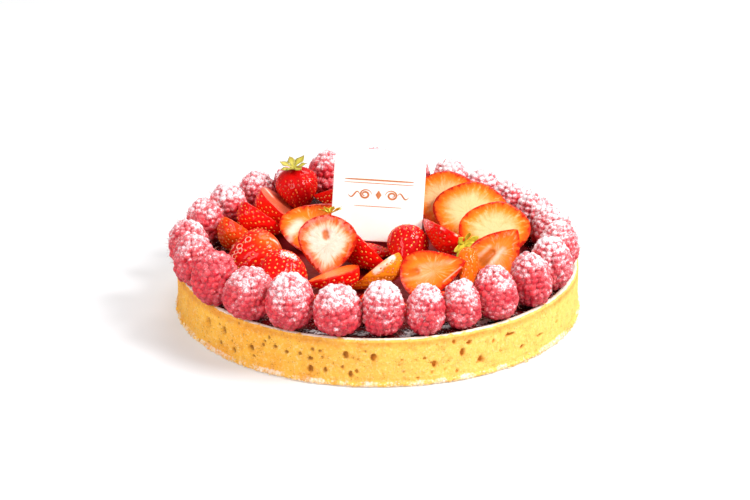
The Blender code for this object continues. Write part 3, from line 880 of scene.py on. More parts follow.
@dataclass(frozen=True)
class Sight:
    """The photograph's view: a camera that looks at the tart's middle from the front and above.

    The focal length and the middle of the frame are in pixels of the photograph, 750 by 500.
    """

    target: Point = (-1.4, 0.0, 26.75)
    elevation: float = 22.41
    distance: float = 1050.0
    focal: float = 2125.0
    middle: tuple[float, float] = (375.0, 250.0)

    def back(self) -> Vector:
        """Direction from the target to the camera."""
        tilt = math.radians(self.elevation)
        return Vector((0, -math.cos(tilt), math.sin(tilt)))

    def eye(self) -> Vector:
        """Where the camera stands, in millimetres."""
        return Vector(self.target) + self.back() * self.distance

    def meet(self, shape: "Wrap | bpy.types.Object", pixels: list) -> tuple[np.ndarray, np.ndarray]:
        """Where the lines of sight through these pixels first meet a shape.

        Args:
            shape: the surface. A line that misses it goes to its nearest point.
            pixels: across and down in the photograph.

        Returns:
            The places in millimetres and the surface's outward directions there.
        """
        if isinstance(shape, Wrap):
            points = np.concatenate([shape.rows.reshape(-1, 3), shape.start[None], shape.end[None]])
            sides = shape.faces().tolist()
        else:
            points = np.array([corner.co for corner in shape.data.vertices]) / MM
            sides = [list(face.vertices) for face in shape.data.polygons]
        sides = [side[:3] if side[-1] == side[-2] else side for side in sides]
        tree = BVHTree.FromPolygons(points.tolist(), sides)
        up = self.back().cross(Vector((1, 0, 0)))
        places, ways = [], []
        for across, down in pixels:
            rise = self.middle[1] - down
            ray = Vector((across - self.middle[0], 0, 0)) + up * rise - self.back() * self.focal
            spot, way, _, _ = tree.ray_cast(self.eye(), ray.normalized())
            if spot is None:
                near = self.eye() + ray.normalized() * self.distance
                spot, way, _, _ = tree.find_nearest(near)
            places.append(spot)
            ways.append(way if way.dot(ray) < 0 else -way)
        return np.array(places), np.array(ways)


@dataclass
class Crust:
    """The shell: a soft upright wall with baking holes, a ragged foot and a thin rim."""

    radius: float = 100.0
    height: float = 23.5
    wall: float = 3.7
    floor: float = 4.3
    foot_out: float = 1.0
    foot_height: float = 2.4
    wobble: float = 0.22
    steps: int = 1150
    back_holes: int = 8
    tiny_holes: int = 260
    hole_scale: float = 1.25

    def front_holes(self) -> list[tuple[float, float, float, float]]:
        """Larger holes of the wall's front: azimuth, height, width and tallness."""
        return [
            (216.3, 14.3, 3.6, 4.6),
            (223.2, 14.2, 3.0, 3.6),
            (221.8, 6.8, 2.0, 2.1),
            (227.2, 6.2, 2.2, 2.3),
            (233.7, 10.7, 2.6, 2.8),
            (241.5, 14.6, 1.9, 1.5),
            (251.8, 12.0, 2.4, 1.6),
            (251.8, 6.8, 2.3, 3.0),
            (255.9, 7.0, 1.6, 2.4),
            (261.5, 15.5, 2.3, 3.2),
            (262.7, 5.9, 1.8, 3.0),
            (268.8, 14.6, 2.6, 3.4),
            (285.1, 9.6, 2.2, 3.2),
            (290.5, 19.4, 1.8, 2.0),
            (293.0, 13.5, 2.3, 3.6),
            (294.9, 17.9, 2.3, 2.3),
            (308.1, 16.6, 5.5, 1.4),
            (312.7, 7.9, 2.4, 2.0),
        ]

    def holes(self) -> np.ndarray:
        """Every hole as azimuth, height, width, tallness and depth: large ones, then tiny ones."""
        draw = random.Random(11)
        places = self.front_holes()
        for number in range(self.back_holes):
            azimuth = 335.0 + 220.0 * (number + draw.uniform(0.2, 0.8)) / self.back_holes
            height = draw.uniform(6.0, self.height - 5.0)
            places.append((azimuth, height, draw.uniform(1.6, 2.8), draw.uniform(1.8, 3.2)))
        places += [
            (238.3, 16.1, 1.4, 1.3),
            (244.9, 13.2, 1.8, 1.5),
            (254.5, 16.4, 1.5, 1.1),
            (276.3, 13.3, 1.2, 1.0),
            (282.4, 13.2, 1.7, 1.1),
            (298.5, 8.0, 2.9, 3.2),
            (320.1, 9.6, 4.5, 1.4),
        ]
        listed = [(*place, 0.75 * math.sqrt(place[2] * place[3])) for place in places]
        for _ in range(self.tiny_holes):
            wide = 0.6 + 1.0 * draw.random() ** 2.5
            tall = wide * draw.uniform(0.7, 1.4)
            azimuth = draw.uniform(0, 360)
            listed.append((azimuth, draw.uniform(3.5, self.height - 2.6), wide, tall, 0.5 * wide))
        return np.array(listed)

    def profile(self) -> np.ndarray:
        """Outline from the middle of the underside, over the rim, to the inner floor."""
        wall = self.radius - self.foot_out
        inner = wall - self.wall
        top = self.height
        corners = [
            (wall - 0.6, 0, 2),
            (self.radius - 0.1, 0.5, 2),
            (self.radius, 1.5, 3),
            (wall + 0.15, self.foot_height, 12),
            (wall, top * 0.38, 14),
            (wall + 0.1, top * 0.68, 15),
            (wall - 0.15, top - 1.4, 3),
            (wall - 0.9, top - 0.3, 3),
            (wall - 1.9, top, 3),
            (inner + 0.5, top - 0.5, 3),
            (inner, top - 1.6, 5),
            (inner - 0.3, self.floor + 1.0, 2),
            (inner - 1.5, self.floor, 2),
            (0.3 * inner, self.floor, 1),
        ]
        line = []
        for (r0, z0, cuts), (r1, z1, _) in zip(corners, corners[1:]):
            for k in range(cuts):
                line.append((r0 + (r1 - r0) * k / cuts, z0 + (z1 - z0) * k / cuts))
        line.append(corners[-1][:2])
        return np.array([(40.0, 0.0), *line])

    def build(self) -> bpy.types.Object:
        """Builds and dresses the shell.

        Returns:
            The piece.
        """
        line = self.profile()
        angle = 2 * np.pi * np.arange(self.steps) / self.steps
        turn = np.stack([np.cos(angle), np.sin(angle)], -1)
        radius = np.repeat(line[:, :1], self.steps, 1)
        height = np.repeat(line[:, 1:], self.steps, 1)
        ring = np.concatenate([turn, np.zeros((self.steps, 1))], 1)

        def uneven(scale: float, seed: int) -> np.ndarray:
            """Unevenness all round the wall, which is finer at a larger scale."""
            return soft_noise(ring * scale, 1.0, seed)

        outer = (line[:, 0] > self.radius - self.foot_out - self.wall + 0.3)[:, None] & (height > 0)
        soft = np.zeros_like(radius)
        for row, (_, z) in enumerate(line):
            if outer[row, 0]:
                soft[row] = [
                    self.wobble * noise.noise(Vector((2.6 * c, 2.6 * s, z * 0.11))) for c, s in turn
                ]
        radius += soft
        foot = outer & (height < self.foot_height)
        cliff = 0.55 * np.minimum(0, uneven(17.0, 3)) + 0.42 * uneven(55.0, 4) + 0.30 * uneven(120.0, 14)
        radius += np.where(foot, cliff[None, :], 0) * eased(self.foot_height - height, 0.0, 0.6)
        height += np.where(foot & (height > 0.4), 0.35 * uneven(40.0, 5)[None, :], 0)
        rim = outer & (height > self.height - 1.0)
        height += np.where(rim, 0.22 * uneven(5.0, 9) + 0.16 * uneven(70.0, 10), 0)
        points = np.stack([radius * turn[:, 0], radius * turn[:, 1], height], -1)
        grainy = 0.16 * soft_noise(points, 2.4, 21) + 0.10 * soft_noise(points, 1.1, 22)
        waves = 0.16 * soft_noise(points, 9.0, 23)
        sunk, shaded_pit = np.zeros_like(radius), np.zeros_like(radius)
        scales = np.array([1, 1, self.hole_scale, self.hole_scale, 1])
        for azimuth, z, wide, tall, deep in self.holes() * scales:
            gap = (np.degrees(angle) - azimuth + 180) % 360 - 180
            side = np.radians(gap) * self.radius / (0.5 * wide)
            near = np.abs(side) < 1
            if not near.any():
                continue
            up = (height[:, near] - z) / (0.5 * tall)
            inside = np.clip(1 - side[near][None, :] ** 2 - up**2, 0, 1)
            ragged = np.clip(inside * 1.6 + 0.5 * soft_noise(points[:, near], 0.9, 24) * (inside > 0), 0, 1)
            sunk[:, near] = np.maximum(sunk[:, near], deep * ragged**0.5)
            # the holes' mask, which also paints shade into them in the finish
            shaded_pit[:, near] = np.maximum(shaded_pit[:, near], ragged * min(1.0, 0.25 + 0.3 * wide))
        on_wall = outer & (radius > self.radius - self.foot_out - 1.6)
        on_wall &= (height > 1.0) & (height < self.height - 0.6)
        radius += np.where(on_wall, grainy + waves - sunk, 0)
        radius += np.where(foot, 1.2 * grainy, 0)
        points = np.stack([radius * turn[:, 0], radius * turn[:, 1], np.maximum(height, 0)], -1)
        top = self.height
        near_top = eased(height, top - 6.0, top - 2.0) * (1 - eased(height, top - 1.6, top - 0.9))
        dusted = eased(height, top - 0.9, top - 0.2) * (0.8 + 0.5 * uneven(26.0, 16)[None, :])
        low = eased(self.foot_height + 1.1 - height, 0.0, 0.9) * (0.62 + 0.7 * uneven(11.0, 15)[None, :])
        dusted += np.clip(0.66 * low, 0, 0.56)
        # painted shade: a dark brown line along the crease above the foot
        crease_shade = np.exp(-(((height - self.foot_height - 1.5) / 0.55) ** 2))
        crease_shade = crease_shade * (0.7 + 0.8 * uneven(8.0, 17)[None, :])
        # painted light: 1 on the side that faces the key lamp near azimuth 340, 0 on the far side; it pales
        # the pastry and its holes there
        painted_lit_side = np.clip(0.25 + 0.75 * np.cos(angle - np.radians(340)), 0, 1)
        marks = {
            "browned_and_crease_shade": np.where(outer, 0.8 * near_top + 0.6 * np.clip(crease_shade, 0, 1), 0.2),
            "dusted": np.where(outer, dusted, 0.0),
            "painted_lit_side": painted_lit_side[None, :] * np.ones_like(radius),
            "shaded_pit": np.where(on_wall, shaded_pit, 0),
            "grains": np.where(outer, np.clip(dusted - 0.25, 0, 1), 0.0),
        }
        wrap = Wrap(points, np.array([0, 0, 0.0]), np.array([0, 0, self.floor]), marks)
        return settle(wrap.mesh("crust_baked", PastryFinish().material()), "pastry", "crust")


@dataclass
class JamFilling:
    """The filling, with its lumpy top."""

    outer: float = 94.65
    base: float = 4.65
    edge: float = 21.7
    dome: float = 1.0
    dome_radius: float = 79.0
    lump: float = 0.35
    clump_radius: float = 2.3
    steps: int = 220
    rings: int = 56

    def clump_pixels(self) -> list[tuple[float, float]]:
        """Where clumps of sugar lie on the jam, as pixels of the photograph."""
        return [
            (312, 331),
            (318, 333),
            (359, 334),
            (365, 333),
            (404, 336),
            (409, 333),
            (446, 328),
            (453, 325),
            (482, 323),
            (488, 320),
        ]

    def top(self, x: np.ndarray, y: np.ndarray) -> np.ndarray:
        """Height of the jam at these places."""
        out = np.hypot(x, y)
        dome = self.dome * np.maximum(0, 1 - (out / self.dome_radius) ** 2)
        flat = [self.lump * noise.noise(Vector((a / 7, b / 7, 2.0))) for a, b in zip(x.ravel(), y.ravel())]
        places = np.stack([x, y, np.zeros_like(x)], -1)
        fine = 0.22 * soft_noise(places, 3.1, 31) + 0.12 * soft_noise(places, 1.4, 32)
        return self.edge + dome + np.array(flat).reshape(x.shape) + fine

    def build(self) -> bpy.types.Object:
        """Builds and dresses the filling.

        Returns:
            The piece.
        """
        angle = 2 * np.pi * np.arange(self.steps) / self.steps
        radii = self.outer * (1 - (np.arange(self.rings) / self.rings) ** 1.25)
        x = radii[:, None] * np.cos(angle)
        y = radii[:, None] * np.sin(angle)
        top = np.stack([x, y, self.top(x, y)], -1)
        low = [(self.outer - 1.4, self.base), (self.outer, self.base + 1.5), (self.outer, 13.0)]
        sides = [np.stack([r * np.cos(angle), r * np.sin(angle), np.full_like(angle, z)], -1) for r, z in low]
        rows = np.concatenate([np.array(sides), top])
        away = np.hypot(rows[..., 0], rows[..., 1])
        marks = {"outer": eased(away, 66, 84)}
        middle = self.top(np.array([0.0]), np.array([0.0]))[0]
        wrap = Wrap(rows, np.array([0, 0, self.base]), np.array([0, 0, middle]), marks)
        spots = Sight().meet(wrap, self.clump_pixels())[0]
        away = np.linalg.norm(rows[:, :, None] - spots, axis=3).min(2)
        marks["clump"] = np.exp(-((away / self.clump_radius) ** 2))
        scattered = np.clip(0.5 + 1.2 * soft_noise(rows, 6.0, 33) + marks["clump"], 0, 1)
        marks["grains"] = marks["outer"] * scattered
        return settle(wrap.mesh("jam_dressed", JamFinish().material()), "jam", "jam_filling")


@dataclass
class Raspberry:
    """One berry of the ring, by its direction from the middle and the way its tip leans.

    sugar says how thickly it is dusted, and squash how much of its height it keeps.
    """

    azimuth: float
    width: float
    height: float
    outward: float = 0.0
    sideways: float = 0.0
    sugar: float = 1.0
    squash: float = 0.965
    rows: int = 70
    steps: int = 112

    def radius(self, t: np.ndarray | float) -> np.ndarray:
        """Radius as a share of the half width, at t from base to tip."""
        widest = 0.38
        t = np.asarray(t, float)
        low = np.sqrt(np.maximum(0, 1 - 0.9 * (np.maximum(0, widest - t) / widest) ** 1.8))
        high = np.sqrt(np.maximum(0, 1 - (np.maximum(0, t - widest) / (1 - widest)) ** 2.3))
        return np.where(t < widest, low, high)

    def solid_corners(self, number: int) -> np.ndarray:
        """Corners of the plain solid that reach furthest, before it was placed."""
        draw = random.Random(100 + number)
        listed = []
        for row, count in enumerate((8, 10, 9, 8, 5)):
            t = 0.075 + 0.81 * row / 4
            radius = 0.512 * self.width * float(self.radius(t))
            for place in range(count):
                angle = 2 * math.pi * (place + 0.5 * (row % 2) + draw.uniform(-0.12, 0.12)) / count
                up = self.height * (t + draw.uniform(-0.015, 0.015))
                listed.append((radius * math.cos(angle), radius * math.sin(angle), up))
        listed.append((0.0, 0.0, self.height))
        corners = np.array(listed)
        middle = np.array([0, 0, 0.42 * self.height])
        away = corners - middle
        corners -= 0.05 * away / np.linalg.norm(away, axis=1, keepdims=True)
        return np.concatenate([corners, [[0.0, 0.0, 0.0]]])

    def turn(self, number: int) -> np.ndarray:
        """How the berry is turned."""
        azimuth = math.radians(self.azimuth)
        out = Vector((math.cos(azimuth), math.sin(azimuth), 0))
        side = Vector((-out.y, out.x, 0))
        lean = Matrix.Rotation(math.radians(self.outward), 3, side)
        tilt = Matrix.Rotation(math.radians(self.sideways), 3, out)
        return np.array(tilt @ lean @ Matrix.Rotation(number * 1.7, 3, "Z"))

    def placed(self, number: int, points: np.ndarray) -> np.ndarray:
        """Moves points of the berry to its place.

        Args:
            number: which berry of the ring.
            points: places on the upright berry.

        Returns:
            The places on the tart.
        """
        turn = self.turn(number)
        half = np.array([0, 0, 0.5 * self.height])
        corners = (self.solid_corners(number) - half) @ turn.T
        move = shift_to_box(f"raspberry_{number + 1:02d}", corners)
        return (points - half) @ turn.T + move

    def drupelets(self, number: int) -> tuple[np.ndarray, np.ndarray]:
        """Middles and sizes of the drupelets, in staggered rows from base to tip."""
        draw = np.random.default_rng(300 + number)
        size = 3.5 * draw.uniform(0.93, 1.1) * (self.width / 20.5) ** 0.6
        t = np.linspace(0, 1, 200)
        line = np.stack([0.5 * self.width * self.radius(t), self.height * t], 1)
        run = np.concatenate([[0], np.cumsum(np.linalg.norm(np.diff(line, axis=0), axis=1))])
        count = max(3, round(run[-1] / (0.86 * size)))
        centres = []
        for row in range(count + 1):
            at = run[-1] * (row + 0.3) / (count + 0.3)
            r = np.interp(at, run, line[:, 0])
            z = np.interp(at, run, line[:, 1])
            many = max(1, round(2 * math.pi * r / size))
            for place in range(many):
                angle = 2 * math.pi * (place + 0.5 * (row % 2) + draw.uniform(-0.2, 0.2)) / many
                up = z + draw.uniform(-0.55, 0.55)
                centres.append((r * math.cos(angle), r * math.sin(angle), up))
        return np.array(centres), size * draw.uniform(0.84, 1.18, len(centres))

    def build(self, number: int, material: bpy.types.Material) -> tuple[bpy.types.Object, list[np.ndarray]]:
        """Builds and dresses the berry.

        Args:
            number: which berry of the ring.
            material: its finish.

        Returns:
            The piece, and the places and directions of the hairs on its drupelets.
        """
        share = np.arange(1, self.rows + 1) / (self.rows + 1)
        t = 0.5 - 0.5 * np.cos(np.pi * share)
        angle = 2 * np.pi * np.arange(self.steps) / self.steps
        reach = 0.5 * self.width * self.radius(t)[:, None]
        up = np.repeat(self.height * t[:, None], self.steps, 1)
        flat = np.stack([reach * np.cos(angle), reach * np.sin(angle), up], -1)
        centres, sizes = self.drupelets(number)
        shape = flat.shape[:2]
        apart = np.linalg.norm(flat.reshape(-1, 3)[:, None] - centres[None], axis=2)
        first, second = np.partition(apart, 1, axis=1)[:, :2].T
        dome = 0.70 * sizes[None] * np.sqrt(np.clip(1 - (apart / (0.63 * sizes[None])) ** 2, 0, 1))
        index = dome.argmax(1)
        bulge = dome.max(1).reshape(shape) - 0.56 * sizes.mean()
        wrap = Wrap(flat, np.array([0, 0, 0.02]), np.array([0, 0, self.height]))
        across = wrap.normals()
        bulge *= eased(t, 0.0, 0.05)[:, None]
        lumpy = 0.32 * soft_noise(flat + 40 * number, 9.0, 41)
        wrap.rows = flat + across * (bulge + lumpy - 0.15)[..., None]
        wrap.rows[..., 2] *= self.squash
        draw = np.random.default_rng(500 + number)
        tint = draw.uniform(0, 1, len(centres))
        # nearness to the groove between two drupelets, where the finish paints shade
        near = np.clip(1 - (second - first).reshape(shape) / (0.30 * sizes.mean()), 0, 1)
        upright = self.placed(number, wrap.rows.reshape(-1, 3)).reshape(wrap.rows.shape)
        facing = wrap.normals() @ self.turn(number).T
        drift = soft_noise(upright, 6.5, 51 + number) * 0.26 + soft_noise(upright, 1.8, 52) * 0.14
        cap = (upright[..., 2] - upright[..., 2].min()) / self.height
        dust = self.sugar * (0.30 * facing[..., 2] + 0.36 * eased(cap, 0.35, 1.05) + 0.17) + 1.15 * drift
        dust = np.clip(dust, 0, 1)
        powdered = 0.16 * eased(dust, 0.45, 0.9) * (0.6 + soft_noise(upright, 0.9, 53))
        wrap.rows = wrap.rows + across * (powdered * (1 - 0.4 * near))[..., None]
        final = self.placed(number, wrap.rows.reshape(-1, 3)).reshape(wrap.rows.shape)
        ends = self.placed(number, np.array([wrap.start, wrap.end * self.squash]))
        marks = {"cell": tint[index].reshape(shape), "shaded_groove": near, "dust": dust}
        marks["grains"] = np.clip(dust - 0.38, 0, 1) * 1.5
        # painted shade: how strongly the low and downward-facing parts are darkened
        downward = np.clip(-facing[..., 2], 0, 1)
        marks["under"] = np.clip(0.9 * (1 - eased(cap, 0.0, 0.45)) + 0.5 * downward, 0, 1)
        piece = Wrap(final, ends[0], ends[1], marks).mesh(f"raspberry_dressed_{number + 1:02d}", material)
        outward = centres - np.array([0, 0, 0.45 * self.height])
        outward /= np.linalg.norm(outward, axis=1, keepdims=True)
        keep = centres[:, 2] > 0.15 * self.height
        roots = self.placed(number, centres[keep] * np.array([1, 1, self.squash]) - 0.1 * outward[keep])
        ways = outward[keep] @ self.turn(number).T
        return settle(piece, "raspberry", f"raspberry_{number + 1:02d}"), [roots, ways]


@dataclass
class RaspberryRing:
    """The ring of raspberries along the rim, and their hairs."""

    def berries(self) -> list[Raspberry]:
        """The berries, from the front one on, towards the right."""
        return [
            Raspberry(271.0, 20.3, 26.6, sugar=1.15),
            Raspberry(283.2, 17.6, 25.2, sugar=1.0),
            Raspberry(294.4, 17.8, 24.4, 0, 3, sugar=1.0),
            Raspberry(306.6, 20.2, 27.0, -5, 10, sugar=0.8),
            Raspberry(321.0, 19.8, 27.2, -4, 8, sugar=0.85),
            Raspberry(335.4, 20.0, 27.5, -3, 6, sugar=1.2),
            Raspberry(352.0, 20.0, 25.0, 2, -4, sugar=1.0),
            Raspberry(7.5, 20.2, 24.0, 3, 5, sugar=1.25),
            Raspberry(22.0, 19.8, 24.5, 0, -8, sugar=1.2),
            Raspberry(36.5, 20.4, 23.5, 4, 3, sugar=1.2),
            Raspberry(50.5, 20.0, 23.5, -2, 6, sugar=1.2),
            Raspberry(63.8, 19.2, 23.5, 3, -5, sugar=1.2),
            Raspberry(77.0, 19.0, 24.0, 0, 4, sugar=1.2),
            Raspberry(90.5, 20.2, 25.0, 4, -3, sugar=0.9),
            Raspberry(109.0, 19.5, 25.0, 6, 3, sugar=0.85),
            Raspberry(122.5, 19.5, 23.5, 4, -4, sugar=0.9),
            Raspberry(136.0, 19.3, 24.0, 4, 6, sugar=0.85),
            Raspberry(151.5, 20.0, 24.0, 4, -6, sugar=0.95),
            Raspberry(168.0, 19.3, 24.0, 4, 5, sugar=0.8),
            Raspberry(187.3, 19.6, 25.0, 6, -3, sugar=0.92),
            Raspberry(201.0, 20.6, 26.2, 6, 4, sugar=0.78),
            Raspberry(216.3, 23.0, 26.6, 6, 5, sugar=0.32),
            Raspberry(231.8, 24.0, 25.0, 5, -6, sugar=0.8),
            Raspberry(245.5, 22.8, 27.2, 5, 2, sugar=1.0),
            Raspberry(257.5, 22.4, 24.6, 3, 12, sugar=0.95),
        ]

    def build(self) -> list[bpy.types.Object]:
        """Builds every berry and the hairs.

        Returns:
            The berries' pieces.
        """
        material = RaspberryFinish().material()
        pieces, roots, ways = [], [], []
        for number, berry in enumerate(self.berries()):
            piece, (places, outward) = berry.build(number, material)
            pieces.append(piece)
            roots.append(places)
            ways.append(outward)
        places, outward = np.concatenate(roots), np.concatenate(ways)
        draw = np.random.default_rng(61)
        outward = outward + draw.normal(scale=0.45, size=outward.shape)
        outward /= np.linalg.norm(outward, axis=1, keepdims=True)
        size = draw.uniform(0.6, 1.1, len(places))
        cloud = point_cloud("hair_roots", places, outward, np.roll(outward, 1, axis=1), size)
        hairs = Repeat("raspberry_hairs", Shape.HAIR, (0.075, 0.075, 2.3), seed=6).grow(cloud, STYLE)
        settle(hairs, "raspberry")
        return pieces


class Stain(Enum):
    """What a streak on a strawberry is."""

    HOLLOW = "hollow"
    CREAM_AND_HIGHLIGHT = "cream"
    # pale flesh, and also painted highlights along glazed edges
    SUGAR = "sugared"
    TIP = "tip"


@dataclass(frozen=True)
class Streak:
    """A mark on a strawberry, between two places that are given as pixels of the photograph."""

    kind: Stain
    start: tuple[float, float]
    end: tuple[float, float]
    width: float
    strength: float = 1.0

    def share(self, wrap: Wrap) -> np.ndarray:
        """How strongly it shows at each point of a surface."""
        first, last = Sight().meet(wrap, [self.start, self.end])[0]
        along = last - first
        run = np.clip((wrap.rows - first) @ along / max(float(along @ along), 1e-6), 0, 1)
        away = np.linalg.norm(wrap.rows - first - run[..., None] * along, axis=2)
        return self.strength * np.exp(-((away / (0.55 * self.width)) ** 2))


@dataclass
class Strawberry:
    """One whole or cut strawberry.

    axis runs from the leaf end to the tip, and face is where the cut looks. span is how much skin
    is left, in degrees. leaf is the reach of its leaves as a share of its width. tone goes from
    dark red at 0 to orange at 1, and pale says how cream its core is. dull says that its pips are
    red rather than golden, dry how olive its leaves are, and streaks lists what is drawn on it.
    """

    name: str
    axis: Point
    face: Point
    length: float
    width: float
    span: float = 180.0
    depth: float = 1.0
    taper: float = 0.62
    leaf: float = 0.0
    tone: float = 0.3
    pale: float = 0.4
    dull: bool = False
    dry: float = 0.0
    streaks: tuple[Streak, ...] = ()
    rows: int = 70
    skin_steps: int = 70
    face_steps: int = 44

    def frame(self) -> np.ndarray:
        """Turns the piece's own axes into the tart's: X along its axis, -Z out of the cut face."""
        along = Vector(self.axis).normalized()
        away = -Vector(self.face)
        away = (away - away.dot(along) * along).normalized()
        return np.array(Matrix((along, away.cross(along), away)).transposed())

    def skin_point(self, t: float, angle: float, seed: float) -> Point:
        """A point of the smooth skin in the piece's own axes."""
        radius = 0.5 * self.width * math.sin(math.pi * min(1.0, max(0.0, t)) ** self.taper) ** 0.8
        across, up = math.cos(angle), math.sin(angle)
        radius *= 1 + 0.035 * noise.noise(Vector((3 * t, 1.3 * across + seed, 1.3 * up)))
        return ((t - 0.5) * self.length, radius * across, radius * up * self.depth)

    def solid_corners(self, seed: float) -> np.ndarray:
        """Corners of the plain solid, in the piece's own axes."""
        whole = self.span >= 360
        steps = 12 if whole else 8
        start = math.radians(90 - 0.5 * self.span)
        turns = [start + math.radians(self.span) * k / steps for k in range(steps if whole else steps + 1)]
        rows = (0.02, 0.08, 0.2, 0.36, 0.54, 0.72, 0.87, 0.965)
        listed = [self.skin_point(t, angle, seed) for t in rows for angle in turns]
        listed += [(-0.5 * self.length, 0, 0), (0.5 * self.length, 0, 0)]
        return np.array(listed)

    def move(self, number: int) -> np.ndarray:
        """How far the piece lies from its own axes' origin on the tart."""
        corners = self.solid_corners(float(number)) @ self.frame().T
        return shift_to_box(f"strawberry_{self.name}", corners)

    def pips(self, number: int) -> tuple[np.ndarray, np.ndarray]:
        """Places of the pips on the skin in staggered rows, and each one's outward direction."""
        draw = np.random.default_rng(700 + number)
        whole = self.span >= 360
        spacing = 2.75 * draw.uniform(0.92, 1.1)
        start = 90 - 0.5 * self.span
        places = []
        count = int(self.length / (0.72 * spacing))
        for row in range(1, count):
            t = 0.03 + 0.94 * row / count
            reach = 0.5 * self.width * math.sin(math.pi * t**self.taper) ** 0.8
            arc = math.radians(self.span) * reach * (0.5 + 0.5 * self.depth)
            many = max(1, round(arc / (1.25 * spacing)))
            for place in range(many + (0 if whole else 1)):
                turn = (place + 0.5 * (row % 2) + draw.uniform(-0.24, 0.24)) / many
                if not whole and not 0.03 < turn < 0.97:
                    continue
                angle = math.radians(start + self.span * turn)
                places.append(self.skin_point(t + draw.uniform(-0.016, 0.016), angle, float(number)))
        spots = np.array(places)
        outward = spots * np.array([0.0, 1.0, 1.0])
        outward[:, 2] /= max(self.depth, 0.3) ** 2
        outward[:, 0] = 0.6 * (spots[:, 0] / self.length) * np.linalg.norm(outward[:, 1:], axis=1)
        outward /= np.maximum(np.linalg.norm(outward, axis=1, keepdims=True), 1e-6)
        return spots, outward

    def build(self, number: int, material: bpy.types.Material) -> tuple[bpy.types.Object, list[np.ndarray]]:
        """Builds and dresses the piece.

        Args:
            number: its place in the list of fruit.
            material: its finish.

        Returns:
            The piece, and the pips' places, directions and runs.
        """
        whole = self.span >= 360
        share = np.arange(1, self.rows + 1) / (self.rows + 1)
        rows = 0.5 - 0.5 * np.cos(np.pi * share)
        skin = int(1.7 * self.skin_steps) if whole else self.skin_steps
        start = math.radians(90 - 0.5 * self.span)
        reach = skin if whole else skin - 1
        turns = [start + math.radians(self.span) * k / reach for k in range(skin)]
        smooth = np.array([[self.skin_point(t, angle, float(number)) for angle in turns] for t in rows])
        spots, outward = self.pips(number)
        apart = np.linalg.norm(smooth.reshape(-1, 1, 3) - spots[None], axis=2).min(1)
        # the pits round the pips: real dents, which the finish also darkens as painted shade
        shaded_pit = np.exp(-((apart.reshape(smooth.shape[:2]) / 0.85) ** 2))
        radial = smooth * np.array([0.0, 1.0, 1.0 / max(self.depth, 0.3) ** 2])
        radial[..., 0] = 0.6 * smooth[..., 0] / self.length * np.linalg.norm(radial[..., 1:], axis=2)
        radial /= np.maximum(np.linalg.norm(radial, axis=2, keepdims=True), 1e-6)
        ends = eased(rows, 0, 0.06)[:, None] * (1 - eased(rows, 0.95, 1.0))[:, None]
        swell = 0.12 - 0.50 * shaded_pit * ends + 0.10 * soft_noise(smooth + 30 * number, 4.0, 71)
        skinned = smooth + radial * (swell * ends)[..., None]
        points, cut = skinned, np.zeros(skinned.shape[:2])
        edge = np.zeros_like(cut)
        rays = np.zeros((*cut.shape, 3))
        if not whole:
            step = np.arange(1, self.face_steps + 1) / (self.face_steps + 1)
            step = 0.5 - 0.5 * np.cos(np.pi * step)
            first, last = skinned[:, :1], skinned[:, -1:]
            flat = last + (first - last) * step[None, :, None]
            rim = np.concatenate([skinned[:, 0], skinned[:, -1]])
            away = np.linalg.norm(flat.reshape(-1, 1, 3) - rim[None], axis=2).min(1)
            away = away.reshape(flat.shape[:2])
            ripple = 0.10 * soft_noise(flat + 30 * number, 2.6, 72)
            flat[..., 2] -= 0.35 * eased(away, 0, 1.1) + ripple * eased(away, 0, 1)
            points = np.concatenate([skinned, flat], 1)
            blank = np.zeros_like(away)
            cut = np.concatenate([cut, np.ones_like(away)], 1)
            edge = np.concatenate([edge, away], 1)
            shaded_pit = np.concatenate([shaded_pit, blank], 1)
            ray = np.stack([0.75 * flat[..., 0], flat[..., 1], blank], -1)
            ray /= np.maximum(np.linalg.norm(ray, axis=2, keepdims=True), 1e-3)
            ray[..., 2] = away * 0.03 + number
            rays = np.concatenate([rays, ray], 1)
        marks = {"cut": cut, "edge": edge, "shaded_pit": shaded_pit, "ray": rays}
        marks["tone"] = np.full_like(cut, self.tone)
        marks["pale"] = np.full_like(cut, self.pale)
        frame_here, move = self.frame(), self.move(number)
        tips = np.array([(-0.5 * self.length, 0, 0), (0.5 * self.length, 0, 0)]) @ frame_here.T + move
        placed = points @ frame_here.T + move
        wrap = Wrap(placed, tips[0], tips[1], marks)
        for kind in Stain:
            marks[kind.value] = np.zeros_like(cut)
        for streak in self.streaks:
            marks[streak.kind.value] = np.maximum(marks[streak.kind.value], streak.share(wrap))
        wrap.rows = placed + 0.8 * (marks["hollow"] * cut)[..., None] * frame_here[:, 2]
        piece = wrap.mesh(f"strawberry_dressed_{self.name}", material)
        settle(piece, "strawberry", f"strawberry_{self.name}")
        sunk_spots = (spots - 0.14 * outward) @ frame_here.T + move
        runs = np.repeat(frame_here[:, 0][None], len(spots), 0)
        return piece, [sunk_spots, outward @ frame_here.T, runs]


